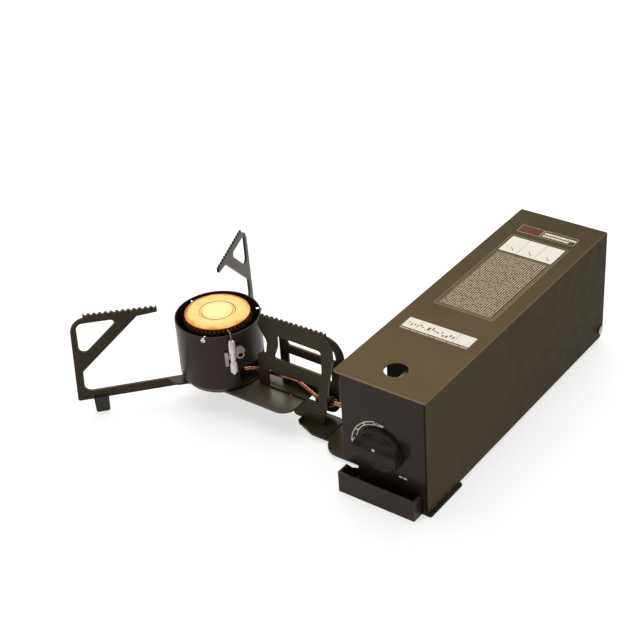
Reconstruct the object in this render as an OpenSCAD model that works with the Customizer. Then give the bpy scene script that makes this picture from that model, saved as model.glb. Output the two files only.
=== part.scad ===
// Folding butane cassette stove. A sheet-metal case takes the cartridge and carries the valve,
// and a burner arm swings out of its open left side on a pivot in the front floor.
// Millimetres, +Z up. Origin: on the ground, midway across the case, at its front edge.
// +Y runs back along the case, and the open burner arm points along -X.

/* [Case] */
// Width of the case
case_w = 80; // [78:0.5:90]
// Length of the case
case_l = 275; // [273:1:320]
// Height of the top sheet above the ground
case_h = 102; // [101:0.5:120]
// Thickness of the case and chassis sheets
sheet = 1.2; // [0.8:0.1:1.5]
// Height of the cover's lower edge above the ground
cover_lift = 2.5; // [2.2:0.1:4]
// Radius of the sight hole over the cartridge collar
sight_r = 9.15; // [6:0.05:12]
// Distance from the front edge to the middle of the sight hole
sight_y = 24.6; // [18:0.1:30]
// How far the front panel sits back from the cover's front edge
panel_inset = 1; // [0.5:0.1:2]
// Distance from the middle to the front panel's edge on the open side
panel_left = 33.5; // [32.5:0.5:35]
// Height of the corner cut out of the front panel for the arm
notch_z = 23; // [20:0.5:24]
// Radius of the cover's free front corner
corner_r = 4.5; // [2:0.5:6]
// Outer radius of the cover's long bend
bend_r = 1.3; // [1.3:0.1:2.5]
// Depth of the folded side flanges of the panels
flange = 7.4; // [6:0.1:8]
// Width of the cover's hinge ear on the open side
ear_w = 9; // [8:0.5:10]
// Distance from the rear edge to the cover's hinge pins
hinge_back = 5.5; // [5:0.1:6]
// Height of the cover's hinge pins above the ground
hinge_z = 10.5; // [10:0.1:14]
// Radius of the cover's hinge pins
hinge_r = 2; // [1.5:0.1:2.5]

/* [Base] */
// Width of the guard lip in front of the knob
lip_w = 67; // [50:1:72]
// Height of the guard lip
lip_h = 18.5; // [12:0.5:20]
// Depth of the guard lip in front of the case
lip_d = 9.5; // [6:0.5:12]
// Length of the front floor behind the front edge
floor_l = 72; // [72:1:90]
// Length of the foot strip along the closed side
strip_l = 45; // [30:1:60]
// How far the foot strip stands out beyond the side wall
strip_out = 2.6; // [1:0.1:4]
// Height of the side rail that joins the floor to the rear panel
rail_h = 14; // [12:0.5:20]
// Height of the cradle that the cartridge rests on
cradle_z = 11.5; // [10:0.1:12]
// Length of the cradle along the cartridge
cradle_l = 18; // [10:1:24]
// Distance from the front edge to the front of the cradle
cradle_y = 214; // [210:1:216]

/* [Burner arm] */
// Distance from the front edge to the arm's pivot
pivot_y = 46; // [45:0.5:50]
// Radius of the arm's pivot pin
pivot_r = 4; // [3:0.1:5]
// Distance from the pivot to the burner's axis
reach = 186; // [180:1:188]
// Thickness of the arm plate, the burner base and the pan supports
plate_t = 2; // [1.5:0.1:2.5]
// Half width of the arm plate round the pivot
hub_w = 25; // [22:0.5:26]
// Length of the wide part of the arm plate
hub_l = 72; // [66:1:76]
// Half width of the arm plate under the supports
neck_w = 14; // [13.5:0.5:17]
// Thickness of the doubler on the narrow part of the arm plate
doubler_t = 1.2; // [0.8:0.1:2]
// Length of the arm plate from the pivot to its far end
neck_l = 107.5; // [104:0.5:112]
// Height of the underside of the burner base
base_z = 21; // [20:0.5:24]
// Half width of the burner base
base_w = 24; // [22:0.5:26]
// Radius of the burner base under the windshield
base_r = 31; // [29:0.5:32]
// Distance from the pivot to the near end of the burner base
base_near = 103; // [101:1:105]
// Radius of the corners of the burner base
base_corner = 12; // [6:0.5:14]

/* [Pan supports] */
// Height of the serrated edges above the ground at their outer ends
pan_z = 93.1; // [90:0.1:96]
// How much the serrated edges fall towards the burner
edge_fall = 2.6; // [0:0.1:4]
// Height of one tooth of the serrated edges
tooth_h = 1.5; // [0.8:0.1:2]
// Teeth along each serrated edge
tooth_n = 13; // [8:1:16]
// Length of each folding support from its pivot to its outer edge
arm_len = 92.8; // [88:0.1:94]
// Length of the serrated edge of a folding support
edge_l = 58.5; // [50:0.5:60]
// Height of the underside of a folding support above the ground
bar_z = 12.5; // [12:0.5:13]
// Height of the lower bar of a folding support
bar_h = 8; // [6:0.1:8]
// Width of the outer post of a folding support
post_w = 6.4; // [5:0.1:8]
// Radius of the rounded outer shoulder of a folding support
shoulder_r = 13; // [8:0.5:14]
// Width of the slanting strut of a folding support
strut_w = 9.5; // [7:0.5:12]
// Width of the feet under the folding supports
foot_w = 12.4; // [8:0.1:14]
// Thickness of the feet
foot_t = 6; // [4:0.5:8]
// Distance from the outer edge of a folding support to its foot
foot_s = 18.8; // [14:0.1:24]
// Sideways distance from a folding support to its pivot
arm_offset = 5; // [4:0.1:6]
// Distance from the burner's axis to the line of the two support pivots
support_x = 17.5; // [16:0.5:19]
// Sideways distance from the middle of the arm to a support pivot
support_y = 21; // [20.5:0.1:22]
// Direction of the left support when open
left_dir = 227.5; // [215:0.5:235]
// Direction of the rear support when open
rear_dir = 110; // [100:0.5:135]
// Radius of the support pivot screws
screw_r = 2; // [1.5:0.1:2.2]
// Length of the right support plate's serrated edge
right_edge = 61.5; // [50:0.5:62]
// Distance from the pivot to the near end of the right support's serrated edge
right_near = 78.7; // [78:0.1:82]
// Distance from the right support plate to the rear web behind it
web_gap = 13; // [12.5:0.1:15]
// Height of the rear web
web_h = 80.5; // [76:0.5:84]

/* [Burner] */
// Outer radius of the windshield cup
cup_r = 34.6; // [33.5:0.1:35]
// Height of the windshield's rim above the ground
cup_top = 76.5; // [74:0.5:78]
// Wall of the windshield cup
cup_t = 1; // [0.6:0.1:1.5]
// Radius of the rounded lower edge of the windshield
cup_round = 5; // [3:0.5:7]
// Radius of the burner cap
cap_r = 26.5; // [24:0.1:27.5]
// Height of the top of the burner cap above the ground
cap_top = 79.5; // [78.5:0.5:81]
// Thickness of the burner cap at its rim
cap_t = 2; // [1.5:0.1:3]
// Flame ports round the burner ring
port_n = 48; // [24:2:60]
// Width of a flame port
port_w = 1.3; // [0.8:0.1:1.6]
// Depth of a flame port
port_h = 3; // [2:0.1:4]
// Radius of the mixing tube
tube_r = 6.5; // [5:0.1:7]
// Radius of the gas pipe
pipe_r = 2; // [1.5:0.1:2.2]
// Height of the gas pipe where it crosses the arm
pipe_z = 29; // [28:0.5:31]
// Radius of the ceramic electrode
electrode_r = 2.3; // [1.5:0.1:2.5]
// Direction of the electrode seen from the burner's axis
electrode_dir = -35; // [-60:1:-32]

/* [Valve and knob] */
// Height of the knob's axis above the ground
knob_z = 46; // [46:0.5:50]
// Radius of the knob
knob_r = 18.5; // [16:0.5:22]
// How far the knob stands out in front of the case
knob_d = 9; // [8:0.5:14]
// Height of the knob's grip bar
grip_w = 14; // [10:0.5:16]
// Radius of the valve spindle
spindle_r = 3; // [2:0.1:4]
// Radius of the regulator housing that meets the cartridge
regulator_r = 23; // [18:0.5:26]
// Width of the valve casting
valve_w = 30; // [29:0.5:34]
// Height of the valve casting
valve_h = 26; // [24:0.5:32]
// Distance from the middle to the open side of the bulkhead behind the regulator
bulkhead_w = 30.3; // [28:0.1:32]
// Height of the underside of that bulkhead above the burner arm
bulkhead_z = 24; // [22:0.5:26]
// Radius of the socket for the cartridge's nozzle
socket_r = 4.5; // [3:0.1:6]
// Depth of the socket for the cartridge's nozzle
socket_l = 8; // [6:0.5:10]

/* [Hidden] */
$fn = 48;
fit = 0.05;
gap = 0.3;
panel_y0 = panel_inset;
panel_y1 = panel_inset + sheet;
rear_y1 = case_l - 1.2;
rear_y0 = rear_y1 - sheet;
side_in = case_w / 2 - sheet;
chassis_x = side_in - gap;
ceiling = case_h - sheet;
hinge_y = case_l - hinge_back;
panel_top = ceiling - 0.5;
floor_x0 = -lip_w / 2 + 1;
arm_z0 = sheet + 0.8;
arm_z1 = arm_z0 + plate_t;
seat_z = arm_z1 + doubler_t;
base_top = base_z + plate_t;
web_y = pivot_y + web_gap;
bracket_y = pivot_y - hub_w - 1 - sheet;
regulator_y = pivot_y + 10;
valve_y = bracket_y + sheet;
bracket_x = 32;
collar_r = regulator_r - 5;
rail_y0 = floor_l - 24;
flange_l = 16;
pipe_y = pivot_y + web_gap / 2;
pipe_back = web_y - plate_t / 2 - pipe_r - 0.4;
swivel_r = 8;
swivel_z = arm_z1 + 16;
feed_z = arm_z1 + 10;
outlet_z0 = arm_z1 + 5;
outlet_top = swivel_z + 11;
fitting_x = -83;
fitting_z = 25;
valve_screw_x = spindle_r + 7.8;
cup_screw_z = cup_top - 2.7;
cup_screw_dirs = [-70, 50, 170];
tab_t = 2;
tab_z1 = bar_z + bar_h;
head_z = base_z + plate_t + 1.6;
left_pivot = [-reach - support_x, pivot_y - support_y];
rear_pivot = [-reach - support_x, pivot_y + support_y];
electrode_d = cup_r + electrode_r + 1.3;
electrode_z0 = 44.5;
electrode_z1 = 73.5;
waist_z0 = 53;
waist_z1 = 62;
waist_r = electrode_r - 0.4;

CASE_PAINT = "#5c5344";
FRONT_PAINT = "#37312f";
ARM_PAINT = "#2f2c28";
STEEL = "silver";
BRASS = "#c8a045";
COPPER = "#b8683a";

// ---- helpers -------------------------------------------------------------------------------

function unit(v) = v / norm(v);

// Arc that rounds the corner b between a and c with radius r.
function corner(a, b, c, r, n) =
    let (u = unit(a - b), v = unit(c - b), half = acos(u * v) / 2,
         mid = b + unit(u + v) * r / sin(half),
         s = b + u * r / tan(half) - mid, e = b + v * r / tan(half) - mid,
         a0 = atan2(s[1], s[0]), turn = atan2(e[1], e[0]) - a0,
         sweep = turn > 180 ? turn - 360 : turn < -180 ? turn + 360 : turn)
    [for (i = [0:n]) mid + r * [cos(a0 + sweep * i / n), sin(a0 + sweep * i / n)]];

// Outline through points [x, y, corner radius].
function rounded(pts, n = 6) =
    [for (i = [0:len(pts) - 1])
        let (k = len(pts), p = pts[(i + k - 1) % k], q = pts[i], w = pts[(i + 1) % k])
        each q[2] == 0 ? [[q[0], q[1]]] : corner([p[0], p[1]], [q[0], q[1]], [w[0], w[1]], q[2], n)];

// Notches of a serrated edge whose tips run from the point a to the point b.
module notches(a, b) {
    step = (b - a) / tooth_n;
    pitch = norm(step);
    for (i = [0:tooth_n - 1]) translate(a + (i + 0.55) * step)
        rotate([0, 0, atan2(step[1], step[0])])
            polygon([[-pitch * 0.38, 0.3], [-pitch * 0.1, -tooth_h], [pitch * 0.12, -tooth_h],
                [pitch * 0.38, 0.3]]);
}

// Stands an outline drawn in (x, z) up as a plate of thickness t, centred on y = 0.
module upright(t) rotate([90, 0, 0]) translate([0, 0, -t / 2]) linear_extrude(t) children();

// Cylinder along +Y from y0 to y1.
module rod_y(r, y0, y1) translate([0, y1, 0]) rotate([90, 0, 0]) cylinder(r = r, h = y1 - y0);

// Cylinder along +X from x0 to x1.
module rod_x(r, x0, x1) translate([x0, 0, 0]) rotate([0, 90, 0]) cylinder(r = r, h = x1 - x0);

module box(a, b) translate(a) cube(b - a);

// Thin wire through a list of points: a cylinder for each leg and a ball at every bend, a hair
// fatter than the wire so that the two surfaces cross cleanly.
module bent_wire(pts, r) {
    swell = 0.06;
    for (i = [0:len(pts) - 2]) {
        leg = pts[i + 1] - pts[i];
        translate(pts[i]) rotate([0, acos(leg[2] / norm(leg)), atan2(leg[1], leg[0])])
            cylinder(r = r, h = norm(leg), $fn = 24);
    }
    for (i = [1:len(pts) - 2]) translate(pts[i]) sphere(r = r + swell, $fn = 24);
}

// Route through a list of points in space, with each corner turned into an arc of radius r.
function route(pts, r, n = 4) = [pts[0],
    for (i = [1:len(pts) - 2])
        let (b = pts[i], u = unit(pts[i - 1] - b), v = unit(pts[i + 1] - b),
             half = acos(u * v) / 2, mid = b + unit(u + v) * r / sin(half),
             s = b + u * r / tan(half) - mid, e = b + v * r / tan(half) - mid,
             turn = 180 - 2 * half)
        each [for (k = [0:n])
            mid + (s * sin(turn * (1 - k / n)) + e * sin(turn * k / n)) / sin(turn)],
    pts[len(pts) - 1]];

// Round pipe of radius r swept along a route that nowhere stands upright.
module swept_pipe(way, r, sides = 12) {
    last = len(way) - 1;
    rings = [for (i = [0:last])
        let (t = unit(way[min(i + 1, last)] - way[max(i - 1, 0)]),
             x = unit(cross(t, [0, 0, 1])), z = cross(x, t))
        each [for (k = [0:sides - 1])
            way[i] + r * (cos(360 * k / sides) * x + sin(360 * k / sides) * z)]];
    walls = [for (i = [0:last - 1], k = [0:sides - 1])
        let (a = i * sides + k, b = i * sides + (k + 1) % sides)
        each [[a, b, b + sides], [a, b + sides, a + sides]]];
    polyhedron(rings, concat(walls, [[for (k = [sides - 1:-1:0]) k]],
        [[for (k = [0:sides - 1]) last * sides + k]]));
}

// ---- chassis -------------------------------------------------------------------------------

// Front floor with the guard lip folded up round its front edge, which runs back as a low gusset
// on the open side, and the foot strip at the other side.
module base_plate() color(FRONT_PAINT) {
    lip_x0 = -lip_w / 2 + 1;
    lip_x1 = lip_w / 2 + 1;
    difference() {
        linear_extrude(sheet) union() {
            polygon(rounded([[floor_x0, -lip_d, 0], [lip_x1, -lip_d, 0], [lip_x1, 0.8, 0],
                [chassis_x, 0.8, 0], [chassis_x, floor_l, 4], [floor_x0, floor_l, 18]]));
            polygon(rounded([[0, 0.8, 0], [case_w / 2 + strip_out, 0.8, 1.5],
                [case_w / 2 + strip_out, strip_l + 0.8, 3], [0, strip_l + 0.8, 0]]));
        }
        translate([0, pivot_y, -1]) cylinder(r = pivot_r + 3, h = sheet + 2);
    }
    box([lip_x0, -lip_d, 0], [lip_x1, -lip_d + sheet, lip_h]);
    side_area(lip_x0, lip_x0 + sheet, [[-lip_d, 0, 0], [pivot_y - hub_w - 2, 0, 0],
        [pivot_y - hub_w - 2, 2 * sheet, 0], [8, lip_h / 2 + 1.5, 6], [1.5, lip_h, 1],
        [-lip_d, lip_h, 0]]);
    side_area(lip_x1 - sheet, lip_x1, [[-lip_d, 0, 0], [0, 0, 0], [0, lip_h, 2],
        [-lip_d, lip_h, 0]]);
}

// Front panel with the knob's hole, folded side flanges and a corner cut away for the arm.
module front_panel() color(FRONT_PAINT) {
    notch_x = -21;
    translate([0, (panel_y0 + panel_y1) / 2, 0]) upright(sheet) difference() {
        polygon(rounded([[notch_x, sheet, 0], [chassis_x, sheet, 0],
            [chassis_x, panel_top, 1], [-panel_left, panel_top, 1],
            [-panel_left, notch_z, 1], [notch_x, notch_z, 2]]));
        translate([0, knob_z]) circle(r = spindle_r + 1.5);
    }
    box([-panel_left, panel_y1, notch_z + 1], [sheet - panel_left, panel_y1 + flange, panel_top - 1]);
    box([side_in - gap - sheet, panel_y1, 2 * sheet],
        [chassis_x, panel_y1 + flange, panel_top - 1]);
}

// Angle rail along the closed side, lying on the front floor and on the rear panel's foot.
module side_rail() color(FRONT_PAINT) {
    y1 = rear_y0 - gap;
    box([chassis_x - 4.5, rail_y0, sheet], [chassis_x, y1, 2 * sheet]);
    difference() {
        box([chassis_x - sheet, rail_y0, sheet], [chassis_x, y1, rail_h]);
        translate([0, hinge_y, hinge_z]) rod_x(hinge_r + 2.5, chassis_x - 3, chassis_x + 1);
        box([chassis_x - 3, rear_y0 - flange - 1, sheet * 2], [chassis_x + 1, y1 + 1, rail_h + 1]);
    }
}

// Rear panel with side flanges for the hinge pins and a foot flange along the ground.
module rear_panel() color(FRONT_PAINT) {
    difference() {
        union() {
            translate([0, (rear_y0 + rear_y1) / 2, 0]) upright(sheet)
                polygon(rounded([[-chassis_x, 0, 0], [chassis_x, 0, 0],
                    [chassis_x, panel_top, 1], [-chassis_x, panel_top, 1]]));
            for (x = [-chassis_x, chassis_x - sheet])
                box([x, rear_y0 - flange, 2 * sheet + gap], [x + sheet, rear_y0, panel_top - 1]);
            box([-chassis_x, rear_y0 - flange_l, 0], [chassis_x, rear_y0, sheet]);
        }
        translate([0, hinge_y, hinge_z]) rod_x(hinge_r + fit, -case_w, case_w);
        for (i = [-3:3]) translate([i * 9, 0, 0]) upright_slot(2, 34, 62);
    }
}

// Vertical vent slot through the rear panel.
module upright_slot(r, z0, z1) {
    for (z = [z0, z1]) translate([0, 0, z]) rod_y(r, rear_y0 - 1, rear_y1 + 1);
    box([-r, rear_y0 - 1, z0], [r, rear_y1 + 1, z1]);
}

// Cartridge rest: a shallow strap that reaches out from the side rail.
module cartridge_cradle() color(STEEL) {
    half = 24;
    x1 = chassis_x - sheet;
    top = cradle_z;
    translate([0, cradle_y + cradle_l, 0]) rotate([90, 0, 0]) linear_extrude(cradle_l)
        polygon(rounded([[-half, top - 3.5, 0], [-half + 1.5, top - 3.5, 0],
            [-half + 3, top - 1.5, 1], [x1 - 1.5, top - 1.5, 1], [x1 - 1.5, 2 * sheet, 0],
            [x1, 2 * sheet, 0], [x1, top, 3], [-half, top, 2]]));
}

// Bracket folded over the valve: a front leg that the valve is screwed to, on a foot bent forward
// over the floor, a strip under the sight hole and a back leg behind the regulator.
module valve_bracket() color(STEEL) {
    half = 28;
    deck = panel_top - 6;
    neck_z = knob_z + 38;
    difference() {
        union() {
            translate([0, bracket_y + sheet / 2, 0]) upright(sheet)
                polygon(rounded([[-half, sheet, 0], [bracket_x, sheet, 0], [bracket_x, deck, 0],
                    [0, deck, 0], [-3, neck_z, 3], [4 - half, neck_z, 3],
                    [-half, knob_z + 14, 10]]));
            box([-half, panel_y1 + 3, sheet], [bracket_x, bracket_y, 2 * sheet]);
            box([0, bracket_y, deck - sheet], [bracket_x, regulator_y + sheet, deck]);
            translate([0, regulator_y + sheet / 2, 0]) upright(sheet)
                polygon(rounded([[-bulkhead_w, bulkhead_z, 3], [-bulkhead_w, deck, 3],
                    [bracket_x, deck, 0], [bracket_x, sheet, 0], [hub_w + 1.5, sheet, 0],
                    [hub_w + 1.5, bulkhead_z, 2]]));
        }
        translate([0, 0, knob_z]) rod_y(spindle_r + 1, bracket_y - 1, bracket_y + sheet + 1);
        translate([0, 0, knob_z]) rod_y(collar_r + gap, regulator_y - 1, regulator_y + sheet + 1);
        regulator_holes(regulator_y - 1, regulator_y + sheet + 1);
        for (x = [-valve_screw_x, valve_screw_x]) translate([x, 0, knob_z])
            rod_y(1.5 + fit, bracket_y - 1, bracket_y + sheet + 1);
        for (x = [-14, 14]) translate([x, 0, knob_z + 24])
            rod_y(3, bracket_y - 1, bracket_y + sheet + 1);
    }
}

// The six screw holes round the regulator housing, from y0 to y1.
module regulator_holes(y0, y1) for (i = [0:5]) translate([0, 0, knob_z])
    rotate([0, 60 * i + 30, 0]) translate([regulator_r - 3, 0, 0]) rod_y(1.2, y0, y1);

// Cast valve body between the bracket and the regulator.
module valve_body() color(STEEL) difference() {
    union() {
        translate([0, valve_y, 0]) upright_block(valve_w / 2, valve_h);
        translate([0, 0, knob_z]) rod_y(11, valve_y, regulator_y - 14);
        translate([-16, valve_y + 9, knob_z + 8]) cylinder(r = 4, h = 12);
    }
    translate([0, 0, knob_z]) rod_y(spindle_r + fit, valve_y - 1, valve_y + 14);
    for (x = [-valve_screw_x, valve_screw_x]) translate([x, 0, knob_z])
        rod_y(1.5 + fit, valve_y - 1, valve_y + 9);
}

// Rounded block of the valve casting, half its width and its height about the knob's axis.
module upright_block(half, height) translate([0, 9, 0]) upright(18)
    polygon(rounded([[-half, knob_z - height / 2, 4], [half, knob_z - height / 2, 4],
        [half, knob_z + height / 2, 4], [-half, knob_z + height / 2, 4]]));

// Round regulator housing with the nozzle socket that faces the cartridge, and the boss
// underneath that takes the gas outlet.
module regulator_housing() color(STEEL) difference() {
    union() {
        translate([0, 0, knob_z]) rotate([-90, 0, 0]) rotate_extrude($fn = 72)
            polygon(rounded([[0, regulator_y - 14, 0], [regulator_r - 5, regulator_y - 14, 2],
                [regulator_r, regulator_y - 9, 2], [regulator_r, regulator_y - 2, 1],
                [regulator_r - 2, regulator_y, 1], [0, regulator_y, 0]]));
        translate([0, pivot_y, swivel_z + 1.5])
            cylinder(r = pivot_r + 2, h = 11);
    }
    translate([0, 0, knob_z]) rod_y(socket_r, regulator_y - socket_l, regulator_y + 1);
    translate([0, pivot_y, swivel_z]) cylinder(r = pivot_r + fit, h = outlet_top - swivel_z);
    regulator_holes(regulator_y - 6, regulator_y + 1);
}

// Collar ring that the cartridge's flange turns into, with the notch that lines it up.
module cartridge_collar() color(STEEL) translate([0, 0, knob_z]) difference() {
    rod_y(collar_r, regulator_y, regulator_y + 4);
    rod_y(collar_r - 3, regulator_y - 1, regulator_y + 2.8);
    rod_y(collar_r - 5, regulator_y - 1, regulator_y + 5);
    box([-3, regulator_y + 1, 0], [3, regulator_y + 5, regulator_r]);
}

// Piezo igniter clipped to the front of the bracket beside the spindle.
module piezo_igniter() color("#2a2a2e") {
    translate([20, bracket_y - 7, knob_z + 16]) cylinder(r = 6.5, h = 16);
    translate([20, bracket_y - 7, knob_z + 32]) cylinder(r1 = 6.5, r2 = 3, h = 3);
    box([16, bracket_y - 4, knob_z + 19], [24, bracket_y, knob_z + 29]);
}

// Flat-headed pin let into the floor, which the burner arm turns on.
module pivot_pin() color(STEEL) translate([0, pivot_y, 0]) {
    cylinder(r = pivot_r + 3 - fit, h = sheet);
    cylinder(r = pivot_r, h = arm_z1 + 4);
}

// Thin washer between the floor and the arm plate.
module pivot_washer() color(BRASS) translate([0, pivot_y, sheet]) difference() {
    cylinder(r = pivot_r + 8, h = arm_z0 - sheet);
    translate([0, 0, -1]) cylinder(r = pivot_r + fit, h = 4);
}

// Gas outlet that drops from the regulator into the swivel on the arm.
module outlet_tube() color(BRASS) translate([0, pivot_y, outlet_z0])
    cylinder(r = pivot_r, h = outlet_top - outlet_z0);

// The two rivets that the cover tilts on.
module cover_hinge_pins() color(STEEL) for (s = [-1, 1]) scale_x(s)
    translate([0, hinge_y, hinge_z]) {
        rod_x(hinge_r, chassis_x - sheet - 1.5, case_w / 2 + gap);
        rod_x(hinge_r + 1.6, case_w / 2 + gap, case_w / 2 + gap + 1.2);
        rod_x(hinge_r + 1, chassis_x - sheet - 1.6, chassis_x - sheet);
    }

// Keeps or mirrors its children across the middle of the case.
module scale_x(s) if (s > 0) children(); else mirror([1, 0, 0]) children();

// Screws that hold the valve body to its bracket.
module valve_screws() color(STEEL) for (x = [-valve_screw_x, valve_screw_x])
    translate([x, 0, knob_z]) {
        rod_y(1.5, bracket_y - 0.5, valve_y + 8);
        rod_y(2.6, bracket_y - 1.8, bracket_y);
    }

// ---- cover ---------------------------------------------------------------------------------

// Bent sheet over the top and the closed side, with a hinge ear on the open side.
module cover() color(CASE_PAINT) {
    ear_y = case_l - ear_w;
    top = case_h + 1;
    difference() {
        intersection() {
            union() {
                bent_sheet(0, ear_y, [[-case_w / 2, case_h, sheet - 0.1]],
                    [[-case_w / 2, ceiling, 0]]);
                bent_sheet(ear_y, case_l, [[-case_w / 2, 0, 0], [-case_w / 2, case_h, bend_r]],
                    [[-side_in, ceiling, bend_r - sheet], [-side_in, 0, 0]]);
            }
            union() {
                side_area(0, case_w, [[0, cover_lift, 0], [case_l - 1, cover_lift, hinge_back + 1],
                    [case_l, hinge_z + 6, 3], [case_l, top, 0], [0, top, 0]]);
                side_area(-case_w, 0, [[0, ceiling - 1, 0], [ear_y, ceiling - 1, 0],
                    [ear_y, cover_lift, 3.5], [case_l - 1, cover_lift, 4.5],
                    [case_l, hinge_z + 6, 3], [case_l, top, 0], [0, top, 0]]);
            }
        }
        translate([-case_w / 2, 0, ceiling - 1]) linear_extrude(sheet + 2) difference() {
            translate([-1, -1]) square(corner_r + 1);
            translate([corner_r, corner_r]) circle(r = corner_r);
        }
        translate([0, sight_y, ceiling - 1]) cylinder(r = sight_r, h = sheet + 2, $fn = 72);
        translate([0, hinge_y, hinge_z]) rod_x(hinge_r + fit, -case_w, case_w);
    }
}

// Top sheet bent down into a wall on the +X side, from y0 to y1, with what its section has on
// the other side: outer holds the outer corners there and inner the inner ones.
module bent_sheet(y0, y1, outer, inner) translate([0, y1, 0]) rotate([90, 0, 0])
    linear_extrude(y1 - y0) polygon(rounded(concat(outer, [[case_w / 2, case_h, bend_r],
        [case_w / 2, 0, 0], [side_in, 0, 0], [side_in, ceiling, bend_r - sheet]], inner), 4));

// Everything between x0 and x1 within an outline drawn in (y, z).
module side_area(x0, x1, pts) translate([x0, 0, 0]) rotate([90, 0, 90])
    linear_extrude(x1 - x0) polygon(rounded(pts));

// ---- knob ----------------------------------------------------------------------------------

// Control knob: a round skirt with a raised grip bar across it and a mark above the middle.
module knob() color("#26241f") translate([0, 0, knob_z]) difference() {
    union() {
        rotate([90, 0, 0]) rotate_extrude($fn = 96) polygon(rounded([[0, 0.4 - panel_y0, 0],
            [knob_r, 0.4 - panel_y0, 0], [knob_r, 1.6, 0.6], [knob_r - 1.5, 2.6, 0.8],
            [knob_r - 5, 2.1, 0.6], [0, 3.6, 0]]));
        intersection() {
            rod_y(knob_r + 0.6, -knob_d, -1);
            rotate([90, 0, 90]) translate([0, 0, -knob_r - 2]) linear_extrude(2 * knob_r + 4)
                polygon(rounded([[-0.5, -grip_w / 2 - 3, 0], [2 - knob_d, -grip_w / 2 - 0.6, 2],
                    [-knob_d, -grip_w / 2 + 3, 1.5], [-knob_d, grip_w / 2 - 3, 1.5],
                    [2 - knob_d, grip_w / 2 + 0.6, 2], [-0.5, grip_w / 2 + 3, 0]]));
        }
        for (i = [0:17]) rotate([0, 20 * i, 0]) translate([knob_r - 0.5, 0, 0])
            rod_y(0.9, -1.6, panel_y0 - 0.4);
    }
    rod_y(spindle_r + fit, -6, panel_y0 + 1);
    translate([0, 0, grip_w / 2 - 2]) rod_y(1.3, -knob_d - 1, 0.6 - knob_d);
}

// Spindle from the knob into the valve body, with the igniter's cam on it.
module valve_spindle() color(BRASS) translate([0, 0, knob_z]) {
    rod_y(spindle_r, -6, valve_y + 13);
    rod_y(spindle_r + 4, bracket_y - 8, bracket_y - 3);
    box([-3, bracket_y - 8, 0], [3, bracket_y - 3, spindle_r + 8]);
}

// ---- burner arm ----------------------------------------------------------------------------

// Floor-level plate that turns on the pivot pin, with a doubler under the uprights.
module arm_plate() color(ARM_PAINT) translate([0, pivot_y, arm_z0]) difference() {
    doubler_x = -hub_l - 3;
    union() {
        linear_extrude(plate_t) union() {
            circle(r = hub_w, $fn = 96);
            polygon(rounded([[0, -hub_w, 0], [-hub_l, -hub_w, 15], [-hub_l, 0, 0],
                [-hub_l, hub_w, 11], [0, hub_w, 0]]));
            polygon(rounded([[-hub_l + 6, 1 - neck_w, 0], [-neck_l + 19, 1 - neck_w, 2],
                [-neck_l + 6, -8, 2], [-neck_l + 1, -5, 2], [-neck_l + 1, neck_w, 4],
                [-hub_l + 6, neck_w, 0]]));
        }
        translate([0, 0, plate_t]) linear_extrude(doubler_t)
            polygon(rounded([[doubler_x, -neck_w, 0.5], [-neck_l + 18, -neck_w, 2],
                [-neck_l + 10, -9.3, 1.5], [-neck_l + 4, -9, 1.5], [-neck_l, -5.5, 2],
                [-neck_l, neck_w, 4], [doubler_x, neck_w, 0.5]]));
    }
    translate([0, 0, -1]) linear_extrude(plate_t + 2)
        polygon(rounded([[-26, -15, 5], [-26, 17, 5], [-52, 17, 5], [-52, -15, 5]]));
    translate([0, 0, -1]) cylinder(r = pivot_r + fit, h = plate_t + 2);
}

// Raised plate that carries the burner, slotted for the right support plate.
module burner_base() color(ARM_PAINT) translate([0, 0, base_z]) difference() {
    linear_extrude(plate_t) union() {
        translate([-reach, pivot_y]) circle(r = base_r, $fn = 96);
        polygon(rounded([[-reach, pivot_y - base_w, 0], [-base_near, pivot_y - base_w, base_corner],
            [-base_near, pivot_y + base_w, base_corner], [-reach, pivot_y + base_w, 0]]));
    }
    for (p = [left_pivot, rear_pivot]) translate([p[0], p[1], -1])
        cylinder(r = screw_r + fit, h = plate_t + 2);
    box([-right_near - 40, pivot_y - plate_t / 2 - 0.1, -1],
        [0, pivot_y + plate_t / 2 + 0.1, plate_t + 1]);
}

// Fixed pan support: a pierced plate with a serrated edge, a waisted web and a leg to the arm.
module right_support_plate() color(ARM_PAINT) {
    x1 = -right_near;
    x0 = x1 - right_edge;
    band0 = base_top + 17.3;
    band1 = base_top + 30.4;
    head0 = base_top + 53;
    top0 = pan_z - edge_fall + 1;
    top1 = pan_z + 0.8;
    translate([0, pivot_y, 0]) upright(plate_t) difference() {
        polygon(rounded([[x0, top0, 0.5], [x1, top1, 0.3], [x1 + 0.4, top1 - 3, 0],
            [x1 + 5, pan_z - 8, 5], [x1 + 5.6, 70, 8], [x1 + 0.9, band0 + 8, 10],
            [x1 - 6.6, seat_z, 1], [x1 - 36, seat_z, 3], [x1 - 37, base_top, 0],
            [x0 - 7.5, base_top, 2], [x0 - 7.5, band1 - 0.6, 4], [x0 + 1.8, band1 + 2, 4],
            [x0 + 4, head0 - 9, 7], [x0 - 4.6, head0 + 5.5, 2]]));
        notches([x0, top0], [x1, top1]);
        polygon(rounded([[x1 - 47.5, head0, 2.5], [x1 - 5, head0, 3], [x1 - 5.5, band1, 1.5],
            [x1 - 52.5, band1, 1.5], [x1 - 48, head0 - 11, 8]]));
        polygon(rounded([[x0 + 2, base_top + 1.8, 1.5], [x1 - 10, base_top + 1.8, 2],
            [x1 - 10, band0, 2], [x0 + 2, band0, 1.5]]));
    }
}

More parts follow.
